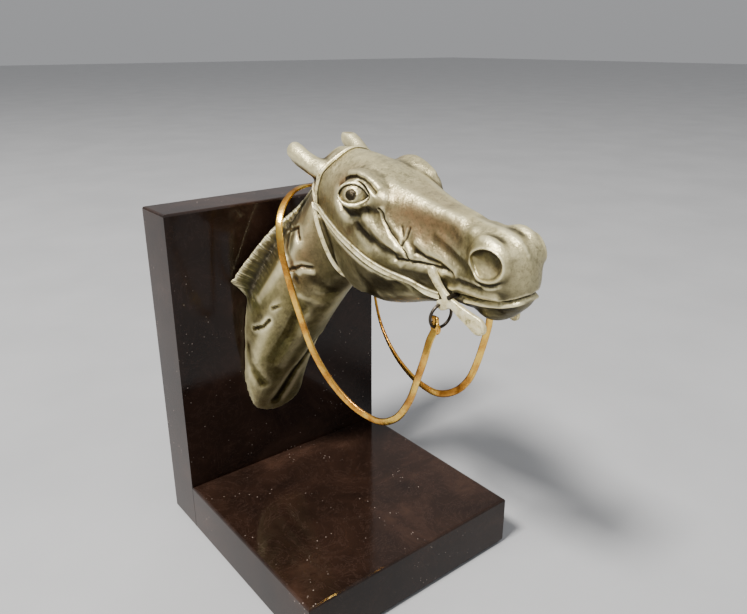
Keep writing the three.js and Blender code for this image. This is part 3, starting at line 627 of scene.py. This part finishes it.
# The eye: its ball, the opening between the lids and the folds round it, all in millimetres
# forward and up from the middle of the ball, as seen looking into the eye.
EYE_FRAME = socket_frame((0.55, -0.72, 0.42))
EYE_R = 7.0
EYE_MIDDLE = np.array((0.323, -0.161, -0.054)) * HEAD_L - EYE_R * EYE_FRAME[2]
UPPER_LID = ((-5.9, 0.4), (-4.6, 2.5), (-1.6, 4.1), (1.4, 4.2), (4.2, 2.9), (6.2, 0.5))
EYE_CORNERS = (-5.9, 6.2)
LOWER_LID = ((-5.9, 0.4), (-4.4, -1.6), (-1.6, -2.9), (2.2, -2.8), (4.8, -1.3), (6.2, 0.5))
EYE_STROKES = (
    (-0.75, 0.45, ((-6.6, 1.6), (-4.7, 4.0), (-0.6, 5.6), (3.2, 5.0), (6.2, 2.9), (8.0, 0.8))),
    (-1.5, 0.75, ((-4.6, 6.4), (-2.0, 7.0), (1.2, 7.1), (5.2, 5.9), (8.0, 4.2), (10.8, 1.8))),
    (1.0, 1.4, ((-3.0, 9.2), (1.5, 9.5), (5.5, 8.4), (9.5, 6.4), (12.5, 4.0))),
    (0.45, 0.7, ((-4.6, -3.2), (-1.6, -4.7), (2.4, -4.6), (5.4, -2.8))),
    (-1.6, 1.7, ((-8.6, 3.4), (-8.6, -0.8), (-6.6, -4.4), (-2.5, -6.6), (3.0, -6.8), (6.4, -5.0))),
    (-0.6, 0.8, ((6.6, 0.2), (8.2, -0.8))),
)
PUPIL = (-0.2, 0.3, 2.3)             # middle and radius
EYE_REACH = 18.0


def sculpt_eye(q):
    """q is millimetres in the head's axes, with the left side folded on to the right."""
    forward, up, out = (EYE_FRAME @ (q - EYE_MIDDLE).T)
    spot = np.column_stack([forward, up])
    near = fade(np.hypot(forward - 1, up - 1), 16, 12) * fade(out, -9, -5)
    out = out + near * stroke_depth(spot, EYE_STROKES)
    top, foot = (spline([p[0] for p in lid], [p[1:] for p in lid], np.clip(forward, *EYE_CORNERS))[:, 0]
                 for lid in (UPPER_LID, LOWER_LID))
    outside = np.minimum(line_distance(spot, curve(UPPER_LID, 40)), line_distance(spot, curve(LOWER_LID, 40)))
    inside = (up < top) & (up > foot) & (abs(forward - 0.15) < 6.05)
    distance = np.where(inside, -outside, outside)
    reach = forward ** 2 + up ** 2
    ball = np.sqrt(np.maximum(EYE_R ** 2 - reach, 4.0))
    pupil = np.hypot(forward - PUPIL[0], up - PUPIL[1])
    ball = ball - 0.30 * fade(pupil, PUPIL[2] + 0.2, PUPIL[2] - 0.4)
    lid_rise = np.where(up > 0.5, 1.25, 0.85) * fade(distance, -0.15, 0.35)
    lids = np.sqrt(np.maximum((EYE_R + lid_rise) ** 2 - reach, 4.0))
    target = np.where(distance < -0.1, ball, lids)
    hold = fade(distance, 2.6, 0.9) * (near > 0)
    out = out * (1 - hold) + target * hold
    return EYE_MIDDLE + np.column_stack([forward, up, out]) @ EYE_FRAME


# The nostril: a deep round cup behind a thin raised rim, facing forwards and out.
NOSTRIL_FRAME = socket_frame((0.60, -0.70, 0.30))
NOSTRIL_MIDDLE = np.array((0.897, -0.0915, -0.102)) * HEAD_L
NOSTRIL_SIZE = (5.9, 5.3)
NOSTRIL_REACH = 12.0


def sculpt_nostril(q):
    """q as for the eye."""
    forward, up, out = (NOSTRIL_FRAME @ (q - NOSTRIL_MIDDLE).T)
    a, b = (forward - 0.4) / NOSTRIL_SIZE[0], up / NOSTRIL_SIZE[1]
    ring = np.hypot(a, b)
    near = fade(out, -6, -3)
    slanted = 1 + 0.35 * (a * 0.6 + b * 0.8)
    cup = 5.6 * slanted * np.sqrt(np.clip(1 - ring ** 2, 0, 1))
    lip = 0.65 * soft(ring - 1.07, 0.09)
    gutter = 1.1 * soft(ring - 1.30, 0.13) * fade(-a - b, -0.5, 0.9)
    out = out + near * (lip - cup - gutter)
    return NOSTRIL_MIDDLE + np.column_stack([forward, up, out]) @ NOSTRIL_FRAME


def sculpt_face(piece):
    points = positions(piece)
    out = normals(piece)
    q = in_head(points)
    turned = out @ HEAD_AXES.T
    sides = np.where(q[:, 1] < 0, -1.0, 1.0)
    on_head = fade(q[:, 0], 0.0, 0.05) * (q[:, 2] > -0.60)
    beside = np.clip(turned[:, 1] * sides * 3 + 0.35, 0, 1) * on_head
    above = np.clip(turned[:, 2] * 2.5 - 0.4, 0, 1) * on_head
    cheek = [(s, r, np.array(line) * HEAD_L) for s, r, line in CHEEK_STROKES]
    top = [(s, r, np.array(line) * HEAD_L) for s, r, line in TOP_STROKES]
    plan = np.column_stack([q[:, 0], abs(q[:, 1])]) * HEAD_L
    depth = stroke_depth(q[:, (0, 2)] * HEAD_L, cheek) * beside + stroke_depth(plan, top) * above
    q = in_head(points + depth[:, None] * out) * HEAD_L
    q[:, 1] *= -sides
    for sculpt, middle, reach in ((sculpt_eye, EYE_MIDDLE, EYE_REACH),
                                  (sculpt_nostril, NOSTRIL_MIDDLE, NOSTRIL_REACH)):
        chosen = np.linalg.norm(q - middle, axis=1) < reach
        q[chosen] = sculpt(q[chosen])
    q[:, 1] *= -sides
    move_to(piece, at_head(q / HEAD_L))


def sculpt_neck(piece):
    points = positions(piece)
    q = in_head(points)
    neck_only = np.maximum(fade(q[:, 0], 0.06, 0.02), q[:, 2] < -0.40)
    strokes = [(s, r, slab_front(line)) for s, r, line in NECK_STROKES]
    depth = stroke_depth(points, strokes) * neck_only
    move_to(piece, points + depth[:, None] * normals(piece))


def sculpt_ears(piece):
    """Hollows each ear along its lower outer side."""
    points = positions(piece)
    q = in_head(points)
    line = np.array(EAR)[1:6, :3] + (0, 0.020, -0.022)
    folded = np.column_stack([q[:, 0], abs(q[:, 1]), q[:, 2]]) * HEAD_L
    depth = -1.6 * soft(line_distance(folded, line * HEAD_L), 1.9)
    move_to(piece, points + depth[:, None] * normals(piece))


sculpt_face(horse)
sculpt_neck(horse)
sculpt_ears(horse)

# The clipped hairs of the mane run from its edge to its root; each place on the mane keeps how
# far along the mane it lies.
mane_middle = (mane_root + mane_edge) / 2
points = positions(horse)
mane_gap = line_distance(points, mane_middle)
spread = soft(np.linalg.norm(points[:, None] - mane_middle[None, ::3], axis=2) - mane_gap[:, None], 2.0)
mane_place = (spread * np.linspace(0, 1, spread.shape[1])).sum(1) / spread.sum(1)
mane_length = np.linalg.norm(np.diff(mane_middle, axis=0), axis=1).sum()
across = line_distance(points, mane_root)
hairy = fade(mane_gap, 11, 7) * fade(across, 1.5, 4.5)
along = mane_place * mane_length
lock = np.sin(along * 2.1 + 1.3 * np.sin(along * 0.7)) + 0.6 * np.sin(along * 1.27 + 2.0)
move_to(horse, points + (0.07 * lock * hairy)[:, None] * normals(horse))

# The chased surface stays just inside the casting's overall size and just off the slab.
INSIDE = 0.1
SLAB_GAP = 0.3
points = positions(horse)
points[:, 1] = np.clip(points[:, 1], cad_box[0][1] / MM + INSIDE, FACE_Y - SLAB_GAP)
points[:, 2] = np.minimum(points[:, 2], cad_box[1][2] / MM - INSIDE)
move_to(horse, points)
bpy.ops.object.select_all(action="DESELECT")
horse.select_set(True)
bpy.context.view_layer.objects.active = horse
bpy.ops.object.shade_smooth()


def store(piece, name, values):
    piece.data.attributes.new(name, "FLOAT", "POINT").data.foreach_set("value", values.astype(np.float32))


def relief(piece, passes, span):
    """How far each vertex stands out of its surroundings: 0 deep, 0.5 level, 1 proud by span."""
    points = positions(piece)
    edges = np.zeros(len(piece.data.edges) * 2, int)
    piece.data.edges.foreach_get("vertices", edges)
    a, b = edges.reshape(-1, 2).T
    count = np.bincount(np.concatenate([a, b]), minlength=len(points))[:, None]
    smooth = points.copy()
    for _ in range(passes):
        total = np.column_stack([
            np.bincount(a, smooth[b, k], len(points)) + np.bincount(b, smooth[a, k], len(points))
            for k in range(3)])
        smooth = 0.5 * smooth + 0.5 * total / count
    height = ((points - smooth) * normals(piece)).sum(1)
    return np.clip(0.5 + 0.5 * height / span, 0, 1)


folded = in_head(positions(horse)) * HEAD_L
folded[:, 1] = -abs(folded[:, 1])
eye_place = (folded - EYE_MIDDLE) @ EYE_FRAME.T
from_pupil = np.hypot(eye_place[:, 0] - PUPIL[0], eye_place[:, 1] - PUPIL[1])
pupil = fade(from_pupil, PUPIL[2] + 0.3, PUPIL[2] - 0.3) * (eye_place[:, 2] > 4)
cup_place = (folded - NOSTRIL_MIDDLE) @ NOSTRIL_FRAME.T / (*NOSTRIL_SIZE, 1.0)
in_cup = fade(np.hypot(cup_place[:, 0], cup_place[:, 1]), 1.0, 0.85) * (cup_place[:, 2] > -8)
# Painted light: the lower inner wall of the nostril gets a lifted relief value, so that it colours pale where
# the lamp lights it.
lit_wall = in_cup * fade(cup_place[:, 0] * 0.5 + cup_place[:, 1] * 0.9, 0.35, -0.15)
facing = normals(horse)
on_head = fade(folded[:, 0], 0, 4) * (folded[:, 2] > -62)
broad = relief(horse, 80, 1.10)
store(horse, "fine_relief", relief(horse, 8, 0.16) * (1 - pupil))
store(horse, "broad_relief_and_nostril_light", (broad + lit_wall * (0.72 - broad)) * (1 - 0.9 * pupil))
# Painted shade: surfaces that face downwards, most of all on the head, are marked here to be darkened in the
# colour.
store(horse, "painted_underside_shade", fade(facing[:, 2], 0.25, -0.50) * (0.1 + 0.9 * on_head) * (1 - in_cup))
warm_lines = ((9.0, ((0.52, -0.090, -0.065), (0.60, -0.075, -0.085), (0.68, -0.070, -0.075))),
              (5.5, ((-0.175, -0.120, -0.030), (-0.13, -0.120, -0.035))),
              (7.0, ((0.24, -0.130, -0.020), (0.20, -0.130, -0.060))))
warm = [soft(line_distance(folded, np.array(line) * HEAD_L), reach) for reach, line in warm_lines]
warm.append(soft(line_distance(positions(horse), slab_front(((-8, 30, 150), (-10, 28, 136)))), 9.0))
store(horse, "warm", np.max(warm, axis=0))
# Painted light: the upper surfaces that face the lamp are marked to be paled in the colour; the muzzle tip is
# marked too, as pale wear from handling.
muzzle = fade(folded[:, 0], 98, 110) * fade(facing[:, 2], -0.55, -0.05) * (1 - in_cup)
painted_top_light = fade(facing @ (-0.20, -0.40, 0.89), 0.05, 0.95) * on_head
store(horse, "top_light_and_muzzle_wear", np.maximum(painted_top_light, 0.85 * muzzle))
store(horse, "hair_place", along / 10)
store(horse, "hair_mask", hairy)


def math_node(tree, operation, left, right=0.0):
    node = tree.nodes.new("ShaderNodeMath")
    node.operation = operation
    node.use_clamp = operation != "SUBTRACT"
    for socket, value in zip(node.inputs, (left, right)):
        if isinstance(value, bpy.types.NodeSocket):
            tree.links.new(value, socket)
        else:
            socket.default_value = value
    return node.outputs[0]


def attribute(tree, name):
    node = tree.nodes.new("ShaderNodeAttribute")
    node.attribute_name = name
    return node.outputs["Fac"]


grime = bpy.data.node_groups.new("grime_in_hollows", "ShaderNodeTree")
for label, kind in (("Metal", "Color"), ("Relief", "Float"), ("Deep", "Float"), ("Level", "Float"),
                    ("Most", "Float"), ("Grime", "Color")):
    grime.interface.new_socket(label, in_out="INPUT", socket_type=f"NodeSocket{kind}")
grime.interface.new_socket("Colour", in_out="OUTPUT", socket_type="NodeSocketColor")
given = grime.nodes.new("NodeGroupInput").outputs
depth_of = grime.nodes.new("ShaderNodeMapRange")
for socket, source in (("Value", "Relief"), ("From Min", "Deep"), ("From Max", "Level"), ("To Min", "Most")):
    grime.links.new(given[source], depth_of.inputs[socket])
depth_of.inputs["To Max"].default_value = 0.0
grimy = mix(grime, depth_of.outputs["Result"], given["Metal"], given["Grime"])
grime.links.new(grimy, grime.nodes.new("NodeGroupOutput").inputs["Colour"])


def settle_grime(tree, metal, relief_mask, deep, level, most, colour):
    """The metal's colour with grime where the relief is deep, thinning to none where it is level."""
    node = tree.nodes.new("ShaderNodeGroup")
    node.node_tree = grime
    tree.links.new(metal, node.inputs["Metal"])
    tree.links.new(relief_mask, node.inputs["Relief"])
    node.inputs["Deep"].default_value = deep
    node.inputs["Level"].default_value = level
    node.inputs["Most"].default_value = most
    node.inputs["Grime"].default_value = (*colour, 1)
    return node.outputs["Colour"]


bronze, tree, shader, place = new_material("patinated_bronze")
patches = noise(tree, place, 34.0, detail=5.0, roughness=0.6, distortion=0.5)
olive = ramp(tree, patches, [(0.30, (0.040, 0.030, 0.008)), (0.46, (0.100, 0.080, 0.022)),
                             (0.58, (0.150, 0.132, 0.042)), (0.74, (0.110, 0.122, 0.046))])
brown_area = ramp(tree, noise(tree, place, 21.0, detail=4.0, distortion=0.8), [(0.52, 0.0), (0.66, 0.7)])
patina = mix(tree, brown_area, olive, (0.150, 0.066, 0.022))
mottle = noise(tree, place, 260.0, detail=6.0, roughness=0.7)
patina = mix(tree, ramp(tree, mottle, [(0.44, 0.0), (0.60, 0.6)]), patina, (0.230, 0.195, 0.072))
broad = attribute(tree, "broad_relief_and_nostril_light")
fine = attribute(tree, "fine_relief")
# Painted light on the lamp-facing top of the head, and pale wear on the muzzle tip, mixed into the patina.
top_light_and_muzzle_wear = math_node(tree, "MULTIPLY", attribute(tree, "top_light_and_muzzle_wear"),
                    ramp(tree, mottle, [(0.3, 0.50), (0.6, 0.90)]))
patina = mix(tree, top_light_and_muzzle_wear, patina, (0.74, 0.66, 0.38))
warm = math_node(tree, "MULTIPLY", attribute(tree, "warm"), ramp(tree, mottle, [(0.38, 0.25), (0.60, 0.75)]))
patina = mix(tree, warm, patina, (0.300, 0.160, 0.070))
specks = noise(tree, place, 850.0, detail=4.0, roughness=0.7)
patina = mix(tree, ramp(tree, specks, [(0.50, 0.0), (0.66, 0.42)]), patina, (0.060, 0.044, 0.016))
# Darkening of the broad hollows, which is dark patina and painted shade, and of the downward-facing surfaces,
# which is painted shade.
hollow = math_node(tree, "MAXIMUM", ramp(tree, broad, [(0.04, 0.95), (0.47, 0.0)]),
                   math_node(tree, "MULTIPLY", attribute(tree, "painted_underside_shade"), 0.85))
patina = mix(tree, hollow, patina, (0.026, 0.020, 0.009))
patina = settle_grime(tree, patina, fine, 0.02, 0.45, 0.85, (0.020, 0.014, 0.006))
rubbed = math_node(tree, "MULTIPLY", ramp(tree, broad, [(0.55, 0.0), (0.98, 1.0)]),
                   ramp(tree, mottle, [(0.35, 0.6), (0.6, 1.0)]))
patina = mix(tree, rubbed, patina, (0.76, 0.67, 0.36))
patina = mix(tree, ramp(tree, fine, [(0.60, 0.0), (0.98, 0.85)]), patina, (0.90, 0.82, 0.50))
streak = tree.nodes.new("ShaderNodeTexNoise")
streak.noise_dimensions = "1D"
streak.inputs["Scale"].default_value = 17.0
streak.inputs["Detail"].default_value = 4.0
tree.links.new(attribute(tree, "hair_place"), streak.inputs["W"])
hair = math_node(tree, "MULTIPLY", attribute(tree, "hair_mask"),
                 ramp(tree, streak.outputs["Fac"], [(0.42, 0.0), (0.60, 0.75)]))
patina = mix(tree, hair, patina, (0.055, 0.050, 0.030))
tree.links.new(patina, shader.inputs["Base Color"])
shader.inputs["Metallic"].default_value = 0.8
tree.links.new(ramp(tree, mottle, [(0.3, 0.28), (0.7, 0.44)]), shader.inputs["Roughness"])
modelled = math_node(tree, "ADD", math_node(tree, "MULTIPLY", noise(tree, place, 150.0, detail=3.0), 0.75),
                     math_node(tree, "MULTIPLY", specks, 0.25))
bump(tree, shader, math_node(tree, "SUBTRACT", modelled, math_node(tree, "MULTIPLY", hair, 0.25)), 0.0009)
horse.data.materials.append(bronze)
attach(horse, "bookend")
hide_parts("horse_casting")

# ---------------------------------------------------------------------------------------
# The bridle is cast with the head and then sharpened with a chisel: narrow crowned bands with
# raised borders that lie on the cheeks, across the brow, behind the ears and under the throat.

skin = BVHTree.FromObject(horse, bpy.context.evaluated_depsgraph_get())
STRAP_PROFILE = ((-1.0, -0.35), (-1.0, 0.70), (-0.86, 1.0), (-0.66, 0.92), (-0.5, 0.62), (0, 0.70),
                 (0.5, 0.62), (0.66, 0.92), (0.86, 1.0), (1.0, 0.70), (1.0, -0.35))

# How clean each point of the profile is: 0 full of grime, 1 polished by hands.
STRAP_WEAR = (0.0, 0.30, 0.9, 0.8, 0.42, 0.7, 0.42, 0.8, 0.9, 0.30, 0.0)


def sweep(line, outward, profile, half_w, thick):
    """A skin of a profile along a line, its face turned outward at every point."""
    along = unit(np.gradient(line, axis=0))
    across = unit(np.cross(outward, along))
    out = np.cross(along, across)
    return loft([p + np.array([a * half_w * x + o * thick * y for x, y in profile])
                 for p, a, o in zip(line, across, out)])


def relax(rows, passes):
    rows = rows.copy()
    for _ in range(passes):
        rows[1:-1] = (rows[:-2] + rows[2:] + 2 * rows[1:-1]) / 4
    return rows


def lie_on_skin(rows, n):
    """The nearest line on the horse's skin, with the direction out of it."""
    line, outward = [], []
    for point in curve(at_head(rows), n):
        place, normal, _, _ = skin.find_nearest(Vector(point * MM))
        line.append(np.array(place) / MM)
        outward.append(np.array(normal))
    return relax(np.array(line), 20), relax(np.array(outward), 30)


strap_bronze, tree, shader, place = new_material("bridle_bronze")
wear = noise(tree, place, 300.0, detail=6.0, roughness=0.7)
tone = ramp(tree, wear, [(0.34, (0.26, 0.21, 0.08)), (0.47, (0.78, 0.69, 0.38)), (0.62, (0.95, 0.88, 0.60))])
tree.links.new(settle_grime(tree, tone, attribute(tree, "fine_relief"), 0.15, 0.48, 0.855,
                            (0.045, 0.034, 0.016)), shader.inputs["Base Color"])
shader.inputs["Metallic"].default_value = 0.55
tree.links.new(ramp(tree, wear, [(0.3, 0.46), (0.7, 0.30)]), shader.inputs["Roughness"])
bump(tree, shader, wear, 0.00035)


def finish_strap(name, skin_shape, replaced):
    strap = add_mesh(name, *skin_shape)
    strap.data.shade_smooth()
    store(strap, "fine_relief", np.resize(STRAP_WEAR, len(strap.data.vertices)))
    strap.data.materials.append(strap_bronze)
    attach(strap, "bookend")
    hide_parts(replaced)


CHEEK = ((0.030, -0.178), (0.079, -0.190), (0.130, -0.203), (0.176, -0.214), (0.225, -0.228), (0.311, -0.247),
         (0.409, -0.270), (0.480, -0.282), (0.540, -0.292), (0.590, -0.300), (0.640, -0.302),
         (0.690, -0.298))
for side, name in ((-1, "right"), (1, "left")):
    rows = [(u, side * (0.16 - 0.055 * fade(u, 0.50, 0.64)), w) for u, w in CHEEK]
    finish_strap(f"cheek_band_{name}", sweep(*lie_on_skin(rows, 130), STRAP_PROFILE, 1.45, 1.1),
                 f"cheek_strap_{name}")

BROW = ((0.040, 0.139, -0.170), (0.045, 0.139, -0.125), (0.050, 0.132, -0.075), (0.065, 0.100, -0.025),
        (0.085, 0.052, 0.008), (0.090, 0.0, 0.018))
rows = [(u, -v, w) for u, v, w in BROW] + [(u, v, w) for u, v, w in BROW[-2::-1]]
finish_strap("brow_strap", sweep(*lie_on_skin(rows, 150), STRAP_PROFILE, 1.1, 0.9), "brow_band")

THROAT = ((0.020, 0.139, -0.175), (0.036, 0.142, -0.215), (0.060, 0.140, -0.270), (0.085, 0.132, -0.330),
          (0.110, 0.120, -0.390), (0.130, 0.090, -0.435), (0.150, 0.045, -0.462), (0.155, 0.0, -0.470))
rows = [(u, -v, w) for u, v, w in THROAT] + [(u, v, w) for u, v, w in THROAT[-2::-1]]
finish_strap("throat_strap", sweep(*lie_on_skin(rows, 170), STRAP_PROFILE, 1.0, 0.9), "throat_latch")

CROWN = ((0.030, 0.139, -0.165), (0.005, 0.134, -0.150), (-0.020, 0.120, -0.135), (-0.040, 0.085, -0.105),
         (-0.052, 0.040, -0.085), (-0.055, 0.0, -0.080))
rows = [(u, -v, w) for u, v, w in CROWN] + [(u, v, w) for u, v, w in CROWN[-2::-1]]
finish_strap("crown_band", sweep(*lie_on_skin(rows, 120), STRAP_PROFILE, 1.1, 0.9), "crown_strap")

# ---------------------------------------------------------------------------------------
# The bit: two cast cheeks, pale where they are polished, on a dark bar through the mouth. Each
# is a tapering blade, broad at its lower end, with a small lug behind it for the ring.

MOUTH_CORNER = (0.752, -0.268)
BIT_V = 10.0                         # half the distance between the cheeks at the mouth
BIT_TOE_IN = math.tan(math.radians(8.4))
BIT_T = 1.5
BLADE = ((0.662, -0.200), (0.670, -0.190), (0.680, -0.190), (0.697, -0.212), (0.716, -0.240), (0.741, -0.262),
         (0.790, -0.280), (0.837, -0.291), (0.876, -0.300), (0.889, -0.318), (0.885, -0.341), (0.862, -0.354),
         (0.823, -0.339), (0.783, -0.320), (0.752, -0.306), (0.736, -0.318), (0.716, -0.327), (0.700, -0.318),
         (0.700, -0.300), (0.722, -0.286), (0.713, -0.272), (0.683, -0.242), (0.665, -0.217))


def make_blade(side, name):
    edge = curve(BLADE, 110, closed=True)
    bpy.ops.mesh.primitive_circle_add(vertices=len(edge), radius=1.0, fill_type="NGON")
    blade = bpy.context.object
    blade.name = f"bit_blade_{name}"
    lie = [(u, side * (BIT_V + BIT_TOE_IN * (MOUTH_CORNER[0] - u) * HEAD_L - BIT_T / 2) / HEAD_L, w)
           for u, w in edge]
    move_to(blade, at_head(lie))
    bpy.ops.object.mode_set(mode="EDIT")
    bpy.ops.mesh.select_all(action="SELECT")
    out = np.array((0, side * BIT_T * MM, 0)) @ HEAD_AXES
    bpy.ops.mesh.extrude_region_move(TRANSFORM_OT_translate={"value": tuple(out)})
    bpy.ops.mesh.select_all(action="SELECT")
    bpy.ops.mesh.normals_make_consistent(inside=False)
    bpy.ops.object.mode_set(mode="OBJECT")
    apply_modifier(blade, "BEVEL", width=0.35 * MM, segments=3, limit_method="ANGLE")
    bpy.ops.object.shade_smooth_by_angle(angle=math.radians(35))
    store(blade, "fine_relief", np.full(len(blade.data.vertices), 0.55))
    blade.data.materials.append(strap_bronze)
    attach(blade, "bookend")
    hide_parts(f"bit_cheek_{name}")


make_blade(-1, "right")
make_blade(1, "left")

dark_bronze, tree, shader, place = new_material("ring_bronze")
stain = noise(tree, place, 420.0, detail=5.0)
tree.links.new(ramp(tree, stain, [(0.35, (0.016, 0.012, 0.009)), (0.65, (0.060, 0.048, 0.034))]),
               shader.inputs["Base Color"])
shader.inputs["Metallic"].default_value = 0.8
tree.links.new(ramp(tree, stain, [(0.3, 0.5), (0.7, 0.32)]), shader.inputs["Roughness"])
bump(tree, shader, stain, 0.0001)
wear_colours(dark_bronze, "bit_mouthpiece", "bit_ring_right", "bit_ring_left")

# ---------------------------------------------------------------------------------------
# The rein is one stiff flat strip of gilt brass, bent to its loop by hand. An eye at each end
# hangs on a bit ring, and the middle rests on the crest of the neck behind the ears.

REIN_W = 3.0
REIN_T = 1.2
RING_U = 0.712
RING_W = -0.350
RING_R = 4.8
RING_V = BIT_V + BIT_TOE_IN * (MOUTH_CORNER[0] - RING_U) * HEAD_L
HANG_ANGLE = math.radians(60)        # where on its ring each eye of the rein hangs
TONGUE = 4.5                         # from the eye to where the strip begins
EYELET_R = 2.15
EYELET_WIRE_R = 0.62
CREST_X = 4.5
REIN_ROUTE = (
    (-6.6, 112.3, 127.5), (-8.4, 112.0, 121.5), (-7.6, 107.4, 110.5), (-6.3, 101.5, 98), (-6.0, 93, 86.5),
    (-6.0, 82, 80.5), (-8.0, 70.5, 81.6), (-11.0, 58, 89), (-14.0, 47.5, 102), (-16.3, 41, 118),
    (-18.0, 36, 133), (-18.5, 31.5, 147), (-16.0, 27.5, 157.5), (-10.0, 23.5, 164), (-3.0, 21, 167.6),
    (4.5, 20.5, 168.6), (12.0, 21.5, 166.5), (20.0, 25, 160.5), (26.5, 30, 148), (28.0, 35, 132),
    (26.5, 39.5, 117), (24.3, 46.5, 106), (22.0, 56.5, 98), (19.8, 69, 92.4), (18.6, 82, 89.4),
    (18.4, 92, 89.6), (19.4, 101, 93.9), (20.1, 107.5, 101.4), (20.3, 111, 109.5), (21.2, 113, 118),
    (22.0, 114.8, 128),
)


def rein_eye(side, rise=0.0):
    v = side * (RING_V + RING_R * math.cos(HANG_ANGLE)) / HEAD_L
    return at_head((RING_U, v, RING_W + (rise - RING_R * math.sin(HANG_ANGLE)) / HEAD_L))


route = np.vstack([rein_eye(-1, TONGUE), rein_eye(-1), slab_front(REIN_ROUTE),
                   rein_eye(1), rein_eye(1, TONGUE)])
line = curve(route, 420)
on_crest = fade(line[:, 2], 148, 166)
turned = 1 - fade(FACE_Y - line[:, 1], 60, 100)
facing = np.column_stack([np.where(line[:, 0] < CREST_X, -1, 1) * (1 - on_crest),
                          -0.7 * turned * (1 - on_crest), on_crest])
facing = relax(unit(facing), 12)
REIN_PROFILE = [(0.5 * REIN_W * math.copysign(abs(math.cos(a)) ** 0.35, math.cos(a)),
                 0.5 * REIN_T * math.copysign(abs(math.sin(a)) ** 0.6, math.sin(a)))
                for a in np.linspace(0, 2 * math.pi, 20, endpoint=False)]
gilt_rein = add_mesh("gilt_rein", *sweep(line, facing, REIN_PROFILE, 1.0, 1.0))
for side in (-1, 1):
    bpy.ops.mesh.primitive_torus_add(major_segments=40, minor_segments=14, major_radius=EYELET_R * MM,
                                     minor_radius=EYELET_WIRE_R * MM)
    eyelet = bpy.context.object
    turn = Matrix(HEAD_AXES.T[:, (0, 2, 1)].tolist())
    move_to(eyelet, rein_eye(side) + positions(eyelet) @ np.array(turn).T)
    gilt_rein.select_set(True)
    bpy.context.view_layer.objects.active = gilt_rein
    bpy.ops.object.join()
    bpy.ops.object.select_all(action="DESELECT")
gilt_rein.data.shade_smooth()

gilt, tree, shader, place = new_material("gilt_brass")
rub = noise(tree, place, 75.0, detail=6.0, roughness=0.65, distortion=0.4)
tone = ramp(tree, rub, [(0.32, (0.20, 0.070, 0.012)), (0.45, (0.66, 0.31, 0.050)),
                        (0.60, (0.95, 0.62, 0.12))])
tree.links.new(tone, shader.inputs["Base Color"])
shader.inputs["Metallic"].default_value = 1.0
tree.links.new(ramp(tree, rub, [(0.3, 0.36), (0.65, 0.16)]), shader.inputs["Roughness"])
bump(tree, shader, noise(tree, place, 900.0, detail=4.0), 0.00006)
gilt_rein.data.materials.append(gilt)
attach(gilt_rein, "rein_set")
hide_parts("rein")
